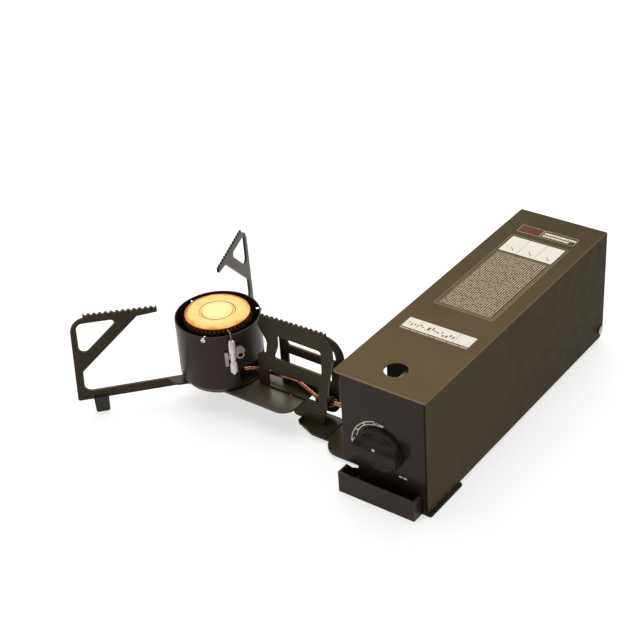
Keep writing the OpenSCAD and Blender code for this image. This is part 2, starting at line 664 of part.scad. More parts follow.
// Lower web behind the right support: a frame of narrow bands with one round shoulder, a foot
// on the doubler and a round lobe beside it.
module rear_web() color(ARM_PAINT) {
    x0 = -right_near - right_edge + 5.5;
    x1 = -right_near + 6.7;
    band = 7.6;
    mid0 = base_top + 29.3;
    mid1 = base_top + 37.2;
    foot1 = -base_near + 7;
    translate([0, web_y, 0]) upright(plate_t) difference() {
        polygon(rounded([[x0, web_h, 3], [x1, web_h, 17], [x1 - 0.5, 60, 4], [x1 - 6, 42, 6],
            [x1 - 6.6, 9, 11], [foot1, 9, 2], [foot1, seat_z, 0], [foot1 - 6.5, seat_z, 0],
            [foot1 - 6.5, base_top, 0], [x0, base_top, 0]], 8));
        polygon(rounded([[x0 + 8, web_h - 7, 2], [x1 - band, web_h - 7, 10],
            [x1 - band, mid1, 2], [x0 + 8, mid1, 2]]));
        polygon(rounded([[x0 + 8, mid0, 2], [x1 - 12.5, mid0, 1.5],
            [x1 - 12.5, base_top + 16, 1.5], [x0 + 8, base_top + 16, 2]]));
    }
}

// Brass block that turns with the arm round the pivot pin and the outlet tube.
module swivel_block() color(BRASS) translate([0, pivot_y, arm_z1]) difference() {
    union() {
        cylinder(r = swivel_r, h = swivel_z - arm_z1);
        cylinder(r = swivel_r + 3, h = 2);
        translate([0, 0, feed_z - arm_z1]) rod_x(3.4, -swivel_r - 4, 0);
    }
    translate([0, 0, -1]) cylinder(r = pivot_r + fit, h = 40);
    translate([0, 0, feed_z - arm_z1]) rod_x(pipe_r + fit, -swivel_r - 5, -pivot_r - 1);
}

// Copper pipe from the swivel along the arm to the jet.
module gas_pipe() color(COPPER) {
    swept_pipe(route([[-swivel_r, pivot_y, feed_z], [-swivel_r - 14, pivot_y, feed_z],
        [fitting_x + 22, pipe_y, fitting_z], [fitting_x + 2, pipe_y, fitting_z]], 3 * pipe_r),
        pipe_r);
    swept_pipe(route([[fitting_x - 8, pipe_y, fitting_z], [fitting_x - 14, pipe_y, fitting_z],
        [fitting_x - 34, pipe_back, pipe_z + 2], [-reach + 42, pipe_back, pipe_z],
        [-reach + 28, pivot_y + 6, pipe_z + 1], [-reach + 22.5, pivot_y, pipe_z + 2],
        [-reach + 17, pivot_y, pipe_z + 2]], 3 * pipe_r), pipe_r);
}

// Union that joins the two lengths of the gas pipe, clamped between the uprights.
module pipe_fitting() color("#4a4540") translate([0, pipe_y, fitting_z]) difference() {
    union() {
        rod_x(4.6, fitting_x - 9, fitting_x - 2);
        translate([fitting_x - 2, 0, 0]) rotate([0, 90, 0]) cylinder(r = 5.2, h = 4, $fn = 6);
        rod_x(3.4, fitting_x + 2, fitting_x + 4);
        box([fitting_x - 8, plate_t / 2 - web_gap / 2, -2],
            [fitting_x - 5, web_gap / 2 - plate_t / 2, 2]);
    }
    rod_x(pipe_r + fit, fitting_x - 10, fitting_x - 7);
    rod_x(pipe_r + fit, fitting_x + 1, fitting_x + 5);
}

// Jet holder at the mouth of the mixing tube.
module jet_holder() color(BRASS) translate([-reach, pivot_y, pipe_z + 2]) difference() {
    union() {
        rod_x(3.6, 13, 20);
        translate([15, 0, 0]) rotate([0, 90, 0]) cylinder(r = 4.8, h = 4, $fn = 6);
    }
    rod_x(pipe_r + fit, 16.5, 21);
}

// Mixing tube from the jet to the middle of the burner.
module mixing_tube() color("#8a8378") translate([-reach, pivot_y, pipe_z + 2]) difference() {
    rod_x(tube_r, -8, 13);
    rod_x(tube_r - 1, 2, 14);
    translate([6, 0, 0]) cylinder(r = 2.5, h = 20);
}

// Pressed windshield cup round the burner, open on the side where the gas comes in.
module windshield_cup() color(ARM_PAINT) translate([-reach, pivot_y, 0]) difference() {
    rotate_extrude($fn = 120) polygon(rounded([[0, base_top, 0], [cup_r, base_top, cup_round],
        [cup_r, cup_top, 0.4], [cup_r - cup_t, cup_top, 0.4],
        [cup_r - cup_t, base_top + cup_t, cup_round - cup_t], [0, base_top + cup_t, 0]]));
    window(base_top + 2.5, base_top + 20, -26, 34);
    for (a = cup_screw_dirs) rotate([0, 0, a]) translate([0, 0, cup_screw_z])
        rod_x(1.5 + fit, cup_r - 4, cup_r + 2);
    for (p = [left_pivot, rear_pivot]) translate([p[0] + reach, p[1] - pivot_y, base_top - 1])
        cylinder(r = screw_r + 2.4, h = cup_t + 3);
}

// Wedge-shaped cut through one side of the cup between two heights and two directions.
module window(z0, z1, a0, a1) {
    far = cup_r * 1.6;
    mid = (a0 + a1) / 2;
    translate([0, 0, z0]) linear_extrude(z1 - z0) difference() {
        polygon([[0, 0], far * [cos(a0), sin(a0)], far * [cos(mid), sin(mid)],
            far * [cos(a1), sin(a1)]]);
        circle(r = cup_r - 8);
    }
}

// Cast burner body: a funnel that feeds the ring of ports.
module burner_body() color("#8f8a80") translate([-reach, pivot_y, 0]) difference() {
    rotate_extrude($fn = 96) polygon(rounded([[0, base_top + cup_t, 0], [13, base_top + cup_t, 0],
        [13, base_top + 16, 4], [cap_r - 2, cap_top - 14, 4], [cap_r - 1, cap_top - 9, 0],
        [0, cap_top - 9, 0]]));
    translate([0, 0, pipe_z + 2]) rod_x(tube_r + fit, -9, 20);
}

// Brass ring with the flame ports cut round its upper edge.
module burner_ring() color(BRASS) translate([-reach, pivot_y, 0]) difference() {
    rotate_extrude($fn = 96) polygon([[cap_r - 6, cap_top - 9], [cap_r - 0.5, cap_top - 9],
        [cap_r + 0.8, cap_top - 7], [cap_r + 0.8, cap_top - 4.5], [cap_r - 0.6, cap_top - cap_t],
        [cap_r - 6, cap_top - cap_t]]);
    for (i = [0:port_n - 1]) rotate([0, 0, i * 360 / port_n])
        box([cap_r - 4, -port_w / 2, cap_top - cap_t - port_h],
            [cap_r + 2, port_w / 2, cap_top - cap_t + 1]);
}

// Crowned burner cap with a shallow ring pressed into it.
module burner_cap() color("#e0a64e") translate([-reach, pivot_y, 0])
    rotate_extrude($fn = 96) polygon(rounded([[0, cap_top - cap_t, 0],
        [cap_r, cap_top - cap_t, 0.5], [cap_r, cap_top - 0.9, 0.5], [cap_r - 3, cap_top, 2],
        [15, cap_top, 0.5], [14.2, cap_top - 0.7, 0.4], [13.2, cap_top - 0.7, 0.4],
        [12.4, cap_top, 0.5], [0, cap_top, 0]], 4));

// Waisted ceramic electrode beside the cup, with its spark wire bent over the rim.
module electrode() color("white") rotate_about_burner(electrode_dir) {
    translate([electrode_d, 0, 0]) {
        rotate_extrude() polygon(rounded([[0, electrode_z0, 0],
            [electrode_r + 0.5, electrode_z0, 0.6], [electrode_r + 0.5, waist_z0, 0.6],
            [waist_r, waist_z0, 0], [waist_r, waist_z1, 0], [electrode_r + 0.4, waist_z1, 0.6],
            [electrode_r + 0.4, electrode_z1 - 3, 0], [electrode_r - 0.2, electrode_z1, 0.6],
            [0, electrode_z1, 0]], 3));
        translate([0, 0, electrode_z0 - 2]) cylinder(r = 1.2, h = 3);
    }
    bent_wire([[electrode_d, 0, electrode_z1 - 1], [electrode_d, 0, cup_top + 3],
        [cap_r + 4, 0, cup_top + 2.5]], 0.7);
}

// Turns its children about the burner's axis, starting from +X.
module rotate_about_burner(a) translate([-reach, pivot_y, 0]) rotate([0, 0, a]) children();

// Clip on the wall of the cup: a saddle behind the electrode's waist, a strip on one side and,
// on the other, a round eyelet under a bent tab.
module electrode_bracket() color(STEEL) rotate_about_burner(electrode_dir) {
    z0 = waist_z0 + 3;
    eye = [electrode_r + 4.7, z0 + 1.2];
    difference() {
        union() {
            translate([electrode_d, 0, z0]) cylinder(r = waist_r + 1, h = 4);
            box([cup_r - 1, -electrode_r - 3.7, z0], [cup_r + 1.2, eye[0], z0 + 4]);
            box([cup_r - 1, -electrode_r - 3.7, waist_z0 - 4],
                [cup_r + 1.2, -electrode_r - 0.9, waist_z1]);
            translate([0, eye[0], eye[1]]) rod_x(3.4, cup_r - 3, cup_r + 1.6);
            side_area(cup_r - 3, cup_r + 2, [[electrode_r + 1.4, eye[1] + 2.6, 0],
                [eye[0] + 3.6, eye[1] + 2.6, 0], [eye[0] + 3.6, eye[1] + 5, 2],
                [eye[0] + 0.6, eye[1] + 9, 2.5], [electrode_r + 1.4, eye[1] + 9, 0]]);
        }
        translate([electrode_d, 0, z0 - 1]) cylinder(r = waist_r + fit, h = 8);
        box([electrode_d - 0.4, -5, z0 - 1], [electrode_d + 8, 5, z0 + 5]);
        translate([0, eye[0], eye[1]]) rod_x(1.9, cup_r - 4, cup_r + 3);
        cylinder(r = cup_r + 0.1, h = 100, $fn = 120);
    }
}

// Screws round the cup's rim that hold it to the burner body.
module cup_screws() color("white") for (a = cup_screw_dirs)
    rotate_about_burner(a) translate([0, 0, cup_screw_z]) {
        rod_x(1.5, cup_r - 3.5, cup_r + 0.4);
        rod_x(2.1, cup_r + 0.1, cup_r + 1.4);
    }

// Shouldered screws that the two folding supports turn on.
module support_pivot_screws() color(STEEL) for (p = [left_pivot, rear_pivot])
    translate([p[0], p[1], 0]) {
        translate([0, 0, tab_z1 - tab_t - 2.4]) cylinder(r = 4, h = 2.1);
        translate([0, 0, tab_z1 - tab_t - 1]) cylinder(r = screw_r, h = head_z - tab_z1 + tab_t + 0.5);
        translate([0, 0, base_top]) cylinder(r = screw_r + 1.8, h = 2, $fn = 6);
    }

// ---- folding pan supports ------------------------------------------------------------------

// Outline of a folding support in (distance in from the outer edge, height).
module support_outline() {
    lean = 3.4;
    shoulder_z = pan_z - 3.3;
    edge0 = 14.5;
    edge1 = edge0 + edge_l;
    end_z = pan_z - edge_fall;
    bar_top = bar_z + bar_h;
    low = [post_w + 1.4, bar_top + 19.5];
    knee = [edge1 - 16.5, end_z - 6.2];
    along = unit(knee - low);
    upper = low + strut_w * [-along[1], along[0]];
    slope = along[1] / along[0];
    win_top = shoulder_z - 4.5;
    win_low = post_w + 0.8;
    difference() {
        polygon(rounded([[0, bar_z, 2], [lean, shoulder_z, shoulder_r], [edge0, shoulder_z, 0],
            [edge0, pan_z, 0.2], [edge1, end_z, 0.4], [edge1, end_z - 5, 1],
            [knee[0], knee[1], 2], [low[0], low[1], 3], [post_w + 0.4, bar_top, 6],
            [arm_len - 6, bar_top, 0], [arm_len - 6, bar_z, 1.5]], 7));
        notches([edge0, pan_z], [edge1, end_z]);
        polygon(rounded([[win_low + 0.9, win_top, 5],
            [upper[0] + (win_top - 0.7 - upper[1]) / slope, win_top - 0.7, 3],
            [win_low, upper[1] + (win_low - upper[0]) * slope, 4.5]]));
    }
}

// Folding support lying along +X from its pivot at the origin; side is 1 or -1 for the face
// of the web that the pivot tab is bent from.
module folding_support(side) {
    translate([arm_len, side * arm_offset, 0]) mirror([1, 0, 0]) upright(plate_t)
        support_outline();
    translate([0, 0, tab_z1 - tab_t]) difference() {
        linear_extrude(tab_t) polygon(rounded([[-5.5, -5.5 * side, 5], [12, -5.5 * side, 5],
            [19, side * (arm_offset - 0.5), 0], [19, side * arm_offset, 0],
            [-5.5, side * arm_offset, 2]]));
        translate([0, 0, -1]) cylinder(r = screw_r + fit, h = tab_t + 2);
    }
}

// Moulded foot under a folding support, socketed on its lower bar.
module support_foot(side) translate([arm_len - foot_s, side * arm_offset, 0]) difference() {
    upright(foot_t) polygon(rounded([[0.6 - foot_w / 2, 0, 2], [foot_w / 2 - 0.6, 0, 2],
        [foot_w / 2, bar_z + 1.5, 1], [-foot_w / 2, bar_z + 1.5, 1]]));
    box([-foot_w, -plate_t / 2, bar_z], [foot_w, plate_t / 2, bar_z + bar_h]);
}

module left_support() color(ARM_PAINT) translate([left_pivot[0], left_pivot[1], 0])
    rotate([0, 0, left_dir]) folding_support(-1);

module left_support_foot() color("#23211e") translate([left_pivot[0], left_pivot[1], 0])
    rotate([0, 0, left_dir]) support_foot(-1);

module rear_support() color(ARM_PAINT) translate([rear_pivot[0], rear_pivot[1], 0])
    rotate([0, 0, rear_dir]) folding_support(1);

module rear_support_foot() color("#23211e") translate([rear_pivot[0], rear_pivot[1], 0])
    rotate([0, 0, rear_dir]) support_foot(1);

base_plate();
front_panel();
side_rail();
rear_panel();
cartridge_cradle();
valve_bracket();
valve_body();
regulator_housing();
cartridge_collar();
piezo_igniter();
pivot_pin();
pivot_washer();
outlet_tube();
cover_hinge_pins();
valve_screws();
cover();
knob();
valve_spindle();
arm_plate();
burner_base();
right_support_plate();
rear_web();
swivel_block();
gas_pipe();
pipe_fitting();
jet_holder();
mixing_tube();
windshield_cup();
burner_body();
burner_ring();
burner_cap();
electrode();
electrode_bracket();
cup_screws();
support_pivot_screws();
left_support();
left_support_foot();
rear_support();
rear_support_foot();
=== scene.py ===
"""Looks of a folding butane cassette stove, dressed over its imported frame.

The frame gives the shape and the place of every part. This script gives each part its finish,
breaks its edges, and adds what is only looked at: prints, a paint fill, screw heads and the bent
gas pipe. Lengths are millimetres, and turn into Blender's metres where they meet MM. Only the
studio's floor, its lights and the camera's clipping are given in metres.
"""

import logging
import math
import random
from abc import ABC, abstractmethod
from dataclasses import dataclass
from enum import Enum

import bmesh
import bpy
from mathutils import Matrix, Vector


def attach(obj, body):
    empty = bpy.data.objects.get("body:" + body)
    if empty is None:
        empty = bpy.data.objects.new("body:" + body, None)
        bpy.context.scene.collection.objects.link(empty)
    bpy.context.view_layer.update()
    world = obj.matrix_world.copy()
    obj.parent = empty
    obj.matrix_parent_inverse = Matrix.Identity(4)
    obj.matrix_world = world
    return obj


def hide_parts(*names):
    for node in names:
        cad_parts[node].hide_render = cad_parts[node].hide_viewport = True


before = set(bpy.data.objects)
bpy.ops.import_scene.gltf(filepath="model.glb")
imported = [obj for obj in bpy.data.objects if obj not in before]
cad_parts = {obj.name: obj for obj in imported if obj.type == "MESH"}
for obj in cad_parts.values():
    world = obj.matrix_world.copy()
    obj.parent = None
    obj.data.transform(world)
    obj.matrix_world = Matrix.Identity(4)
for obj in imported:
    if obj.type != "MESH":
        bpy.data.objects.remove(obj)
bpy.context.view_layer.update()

MM = 0.001
Point = tuple[float, float]
Triple = tuple[float, float, float]
Box = tuple[float, float, float, float]
Colour = Triple
Socket = bpy.types.NodeSocket
log = logging.getLogger("stove")


# ---- values shared by the whole stove ---------------------------------------------------------

@dataclass(frozen=True)
class StovePlan:
    """The stove's leading dimensions, as the frame has them."""

    half_width: float = 40.0
    case_top: float = 102.0
    panel_front: float = 1.0
    pivot_y: float = 46.0
    reach: float = 186.0
    knob_z: float = 46.0
    cup_radius: float = 34.6
    cup_rim: float = 76.5
    cap_radius: float = 26.5

    @property
    def burner_axis(self) -> Point:
        """Where the burner's axis meets the ground, in (x, y)."""
        return (-self.reach, self.pivot_y)


PLAN = StovePlan()
NOISE_SPAN = (0.3, 0.7)  # soft noise seldom leaves this range
LEAST_CORNER = 0.05  # radius of the sharpest corner in a printed border
WELD_REACH = 0.002
EDGE_SEGMENTS = 2
FACE_WEIGHT = 60


class EdgeBreak(Enum):
    """How far each kind of part has its edges broken."""

    SHEET = 0.22
    CAST = 0.6
    TURNED = 0.25
    MOULDED = 0.45
    FINE = 0.12


class Side(Enum):
    """Which of the two folding pan supports it is."""

    LEFT = "left"
    REAR = "rear"


def linear(value: float) -> float:
    """Turns one channel of a screen colour, from 0 to 1, into the light that it stands for."""
    return value / 12.92 if value <= 0.04045 else ((value + 0.055) / 1.055) ** 2.4


def srgb(red: int, green: int, blue: int) -> Colour:
    """Turns a colour of 0 to 255 a channel into the linear values that a shader takes."""
    return (linear(red / 255), linear(green / 255), linear(blue / 255))


# ---- finishes -----------------------------------------------------------------------------------

class Wiring:
    """A new material's node tree, with the few things that the finishes build from."""

    def __init__(self, name: str) -> None:
        """Starts a material with one Principled shader.

        Args:
            name: the material's name.
        """
        self.material = bpy.data.materials.new(name)
        self.material.use_nodes = True
        self.tree = self.material.node_tree
        self.shader = self.tree.nodes["Principled BSDF"]
        self.place = self.tree.nodes.new("ShaderNodeTexCoord").outputs["Object"]

    def add(self, kind: str, **settings: object) -> bpy.types.Node:
        """Adds a node and sets it up.

        Args:
            kind: the node's type.
            settings: its properties by name.

        Returns:
            The new node.
        """
        node = self.tree.nodes.new(kind)
        for key, value in settings.items():
            setattr(node, key, value)
        return node

    def join(self, source: Socket, target: Socket) -> None:
        """Links one socket to another."""
        self.tree.links.new(source, target)

    def set(self, **values: float | Colour | Socket) -> None:
        """Sets or links the shader's own sockets.

        Args:
            values: what each socket gets, under its name with _ for a space.
        """
        for key, value in values.items():
            socket = self.shader.inputs[key.replace("_", " ")]
            if isinstance(value, Socket):
                self.join(value, socket)
            else:
                socket.default_value = (*value, 1.0) if isinstance(value, tuple) else value

    def noise(self, size_mm: float, detail: float = 3.0, stretch: Triple = (1, 1, 1)) -> Socket:
        """Adds soft noise in the part's own space.

        Args:
            size_mm: the width of one blotch.
            detail: how many finer layers it has.
            stretch: how much shorter the blotches are along each axis.

        Returns:
            The noise's factor socket.
        """
        scaled = self.add("ShaderNodeMapping")
        scaled.inputs["Scale"].default_value = stretch
        self.join(self.place, scaled.inputs["Vector"])
        noise = self.add("ShaderNodeTexNoise")
        noise.inputs["Scale"].default_value = 1.0 / (size_mm * MM)
        noise.inputs["Detail"].default_value = detail
        self.join(scaled.outputs["Vector"], noise.inputs["Vector"])
        return noise.outputs["Fac"]

    def spread(self, factor: Socket, low: float, high: float, to_low: float = 0.0,
               to_high: float = 1.0) -> Socket:
        """Maps one range of values to another, held at its ends.

        Args:
            factor: the value to map.
            low: where the source range starts.
            high: where it ends.
            to_low: what low becomes.
            to_high: what high becomes.

        Returns:
            The mapped value's socket.
        """
        mapped = self.add("ShaderNodeMapRange")
        for key, value in {"From Min": low, "From Max": high, "To Min": to_low, "To Max": to_high}.items():
            mapped.inputs[key].default_value = value
        self.join(factor, mapped.inputs["Value"])
        return mapped.outputs["Result"]

    def patches(self, size_mm: float, detail: float, low: float, high: float) -> Socket:
        """Gives a value that drifts between two ends in soft patches.

        Args:
            size_mm: the width of one patch.
            detail: how many finer layers it has.
            low: the value at the low end.
            high: the value at the high end.

        Returns:
            The value's socket.
        """
        return self.spread(self.noise(size_mm, detail), *NOISE_SPAN, low, high)

    def blend(self, factor: Socket, first: Colour | Socket, second: Colour | Socket) -> Socket:
        """Mixes two colours.

        Args:
            factor: how much of the second one shows.
            first: a colour or a colour socket.
            second: a colour or a colour socket.

        Returns:
            The mixed colour's socket.
        """
        mix = self.add("ShaderNodeMix", data_type="RGBA")
        self.join(factor, mix.inputs["Factor"])
        ends = [socket for socket in mix.inputs if socket.type == "RGBA"]
        for socket, value in zip(ends, (first, second)):
            if isinstance(value, tuple):
                socket.default_value = (*value, 1.0)
            else:
                self.join(value, socket)
        return next(socket for socket in mix.outputs if socket.type == "RGBA")

    def emboss(self, height: Socket, depth_mm: float, strength: float,
               under: Socket | None = None) -> Socket:
        """Bumps the surface.

        Args:
            height: the height from 0 to 1.
            depth_mm: how deep the full height is.
            strength: how strongly it shows.
            under: a normal that it lies over.

        Returns:
            The bumped normal's socket.
        """
        bump = self.add("ShaderNodeBump")
        bump.inputs["Strength"].default_value = strength
        bump.inputs["Distance"].default_value = depth_mm * MM
        self.join(height, bump.inputs["Height"])
        if under is not None:
            self.join(under, bump.inputs["Normal"])
        return bump.outputs["Normal"]

    def edges(self, radius_mm: float, flat: float = 0.995, sharp: float = 0.80) -> Socket:
        """Finds the part's outer and inner edges.

        Args:
            radius_mm: how far from an edge it reaches.
            flat: the cosine of the turn that still counts as flat.
            sharp: the cosine of the turn that counts as a full edge.

        Returns:
            A value of 1 on an edge and 0 away from it.
        """
        rounded = self.add("ShaderNodeBevel", samples=4)
        rounded.inputs["Radius"].default_value = radius_mm * MM
        facing = self.add("ShaderNodeNewGeometry").outputs["Normal"]
        dot = self.add("ShaderNodeVectorMath", operation="DOT_PRODUCT")
        self.join(rounded.outputs["Normal"], dot.inputs[0])
        self.join(facing, dot.inputs[1])
        return self.spread(dot.outputs["Value"], flat, sharp)

    def axis_value(self, axis: str) -> Socket:
        """Gives one coordinate of the part's own space, in metres.

        Args:
            axis: X, Y or Z.

        Returns:
            The coordinate's socket.
        """
        split = self.add("ShaderNodeSeparateXYZ")
        self.join(self.place, split.inputs["Vector"])
        return split.outputs[axis]

    def math(self, operation: str, first: float | Socket, second: float | Socket) -> Socket:
        """Works one sum out.

        Args:
            operation: the sum's name.
            first: a number or a value socket.
            second: a number or a value socket.

        Returns:
            The result's socket.
        """
        node = self.add("ShaderNodeMath", operation=operation)
        for socket, value in zip(node.inputs, (first, second)):
            if isinstance(value, (int, float)):
                socket.default_value = value
            else:
                self.join(value, socket)
        return node.outputs["Value"]


@dataclass(frozen=True)
class Finish(ABC):
    """A finish that can be made into a material.

    The material's title ends in _finish, so that it stays apart from the frame's own materials.
    """

    name: str

    @abstractmethod
    def wire(self, w: Wiring) -> None:
        """Builds the finish's nodes."""

    def make(self) -> bpy.types.Material:
        """Makes the material, or gives the one made before.

        Returns:
            The finish's material.
        """
        title = f"{self.name}_finish"
        known = bpy.data.materials.get(title)
        if known is not None:
            return known
        wiring = Wiring(title)
        self.wire(wiring)
        return wiring.material


@dataclass(frozen=True)
class PowderCoat(Finish):
    """Satin powder coat on sheet steel, a little thin and worn along its edges."""

    colour: Colour = (0.1, 0.1, 0.1)
    cloud: Colour = (0.1, 0.1, 0.1)
    rub_and_highlight: Colour = (0.3, 0.3, 0.3)
    gloss_low: float = 0.36
    gloss_high: float = 0.5
    grain_mm: float = 0.55
    wear: float = 0.5
    shine: float = 0.2
    shine_tint: Colour = (1.0, 0.93, 0.86)
    peel: float = 0.5
    cloud_mm: float = 38.0
    cloud_range: Point = (0.32, 0.68)  # of the noise, as in the next two
    fleck_range: Point = (0.35, 0.7)
    rub_range: Point = (0.38, 0.62)
    fleck_mm: float = 0.9
    fleck_share: float = 0.35
    fleck_gain: float = 1.35
    rub_mm: float = 0.55
    rub_patch_mm: float = 3.2
    rub_least: float = 0.25
    gloss_patch_mm: float = 14.0
    grain_depth: float = 0.03
    wave: float = 3.4  # the wave's size in grains
    wave_depth: float = 0.05
    wave_share: float = 0.7

    def tone(self, w: Wiring, base: Socket) -> Socket:
        """Changes the colour from place to place, which a plain coat doesn't do."""
        return base

    def wire(self, w: Wiring) -> None:
        """Builds the orange-peel grain, the clouding and the rubbed edges.

        Args:
            w: the material's wiring.
        """
        clouds = w.spread(w.noise(self.cloud_mm, 4.0), *self.cloud_range)
        fleck = w.spread(w.noise(self.fleck_mm, 2.0), *self.fleck_range, 0.0, self.fleck_share)
        base = w.blend(clouds, self.colour, self.cloud)
        base = w.blend(fleck, base, tuple(min(1.0, c * self.fleck_gain) for c in self.colour))
        patchy = w.spread(w.noise(self.rub_patch_mm, 5.0), *self.rub_range, self.rub_least, 1.0)
        rub = w.math("MULTIPLY", w.math("MULTIPLY", w.edges(self.rub_mm), patchy), self.wear)
        wave = w.emboss(w.noise(self.grain_mm * self.wave, 1.0), self.wave_depth,
                        self.peel * self.wave_share)
        w.set(Base_Color=self.tone(w, w.blend(rub, base, self.rub_and_highlight)), Metallic=0.0,
              Roughness=w.patches(self.gloss_patch_mm, 5.0, self.gloss_low, self.gloss_high),
              Normal=w.emboss(w.noise(self.grain_mm, 2.0), self.grain_depth, self.peel, wave),
              Specular_IOR_Level=self.shine, Specular_Tint=self.shine_tint)


@dataclass(frozen=True)
class CoverCoat(PowderCoat):
    """Powder coat of the cover, with painted shade on its side wall and along its front edge, a painted
    highlight along its bend, and darker towards the rear.
    """

    # Painted shade: the colour along the front edge below the top, beside the front panel.
    edge: Colour = (0.02, 0.02, 0.02)
    edge_y: float = 0.9
    edge_fade: float = 0.3
    # Painted shade: the side wall gets a darker colour than the top, standing in for the light falling less
    # on it.
    flank_shade: Colour = (0.06, 0.05, 0.03)
    flank_x: float = PLAN.half_width - 0.05
    flank_fade: float = 0.8
    # Painted highlight along the bend and the top's front edge.
    bend_highlight: Colour = (0.3, 0.25, 0.15)
    bend: float = 1.4
    bend_top: float = 0.5
    bend_side: float = 0.4
    bend_highlight_share: float = 0.38
    # Darker towards the rear: the colour, where the change starts and ends, and how much of it shows.
    rear_dark: Colour = (0.02, 0.015, 0.008)
    rear_dark_from: float = 40.0
    rear_dark_to: float = 280.0
    rear_dark_share: float = 0.5

    def tone(self, w: Wiring, base: Socket) -> Socket:
        """Paints shade on the side wall and along the front edge below the top, darkens towards the rear,
        and paints a highlight along the bend and the top's front edge.

        Args:
            w: the material's wiring.
            base: the coat's own colour.

        Returns:
            The changed colour's socket.
        """
        x, y, z = (w.axis_value(axis) for axis in "XYZ")
        side, top = self.flank_x, PLAN.case_top
        on_flank = w.spread(x, (side - self.flank_fade) * MM, side * MM)
        towards_rear = w.spread(y, self.rear_dark_from * MM, self.rear_dark_to * MM, 0.0, self.rear_dark_share)
        # Painted shade on the side wall, then darker towards the rear.
        toned = w.blend(towards_rear, w.blend(on_flank, base, self.flank_shade), self.rear_dark)
        cut = w.spread(y, self.edge_y * MM, (self.edge_y - self.edge_fade) * MM)
        high = w.spread(z, (top - self.bend) * MM, (top - self.bend_top) * MM)
        outer = w.spread(x, (side - self.bend) * MM, (side - self.bend_side) * MM)
        # Painted shade along the front edge below the top.
        shaded_front_edge = w.math("MULTIPLY", cut, w.math("SUBTRACT", 1.0, high))
        # Painted highlight along the bend and the top's front edge.
        lip = w.math("MULTIPLY", high, w.math("MAXIMUM", outer, cut))
        rub_and_highlight = w.math("MULTIPLY", lip, self.bend_highlight_share)
        return w.blend(rub_and_highlight, w.blend(shaded_front_edge, toned, self.edge), self.bend_highlight)


@dataclass(frozen=True)
class PaintedShadeBracketCoat(PowderCoat):
    """Coat of a bracket painted near black as painted shade inside the case, with its top strip painted
    light where light falls on it.
    """

    # Painted light: the top strip's colour, standing in for the light that falls on it.
    painted_light_strip: Colour = (0.3, 0.3, 0.3)
    lit_strip_from: float = 90.0

    def tone(self, w: Wiring, base: Socket) -> Socket:
        """Paints what lies above a height in a lighter colour, standing in for the light on the top strip.

        Args:
            w: the material's wiring.
            base: the coat's own colour.

        Returns:
            The changed colour's socket.
        """
        return w.blend(w.math("GREATER_THAN", w.axis_value("Z"), self.lit_strip_from * MM), base, self.painted_light_strip)


@dataclass(frozen=True)
class BareMetal(Finish):
    """Turned, plated or drawn metal, with fine streaks along one axis and dull patches."""

    colour: Colour = (0.6, 0.6, 0.6)
    dull: Colour = (0.4, 0.4, 0.4)
    gloss_low: float = 0.22
    gloss_high: float = 0.42
    streak: Triple = (1.0, 1.0, 12.0)
    streak_mm: float = 1.6
    streak_depth: float = 0.02
    streak_strength: float = 0.3
    patch_mm: float = 6.0
    patch_range: Point = (0.36, 0.66)

    def wire(self, w: Wiring) -> None:
        """Builds the streaks and the dull patches.

        Args:
            w: the material's wiring.
        """
        patch = w.spread(w.noise(self.patch_mm, 4.0), *self.patch_range)
        streaks = w.noise(self.streak_mm, 3.0, self.streak)
        w.set(Base_Color=w.blend(patch, self.colour, self.dull), Metallic=1.0,
              Roughness=w.spread(streaks, *NOISE_SPAN, self.gloss_low, self.gloss_high),
              Normal=w.emboss(streaks, self.streak_depth, self.streak_strength))


@dataclass(frozen=True)
class CastAlloy(Finish):
    """Sand-cast alloy: a coarse grey skin with darker pits."""

    colour: Colour = (0.4, 0.4, 0.4)
    pit: Colour = (0.2, 0.2, 0.2)
    pit_range: Point = (0.35, 0.6)
    metal: float = 0.85
    gloss_low: float = 0.45
    gloss_high: float = 0.65
    gloss_patch_mm: float = 5.0
    grain_mm: float = 0.8
    grain_depth: float = 0.12
    grain_strength: float = 0.6

    def wire(self, w: Wiring) -> None:
        """Builds the coarse skin.

        Args:
            w: the material's wiring.
        """
        grain = w.noise(self.grain_mm, 4.0)
        w.set(Base_Color=w.blend(w.spread(grain, *self.pit_range), self.pit, self.colour),
              Metallic=self.metal,
              Roughness=w.patches(self.gloss_patch_mm, 3.0, self.gloss_low, self.gloss_high),
              Normal=w.emboss(grain, self.grain_depth, self.grain_strength))


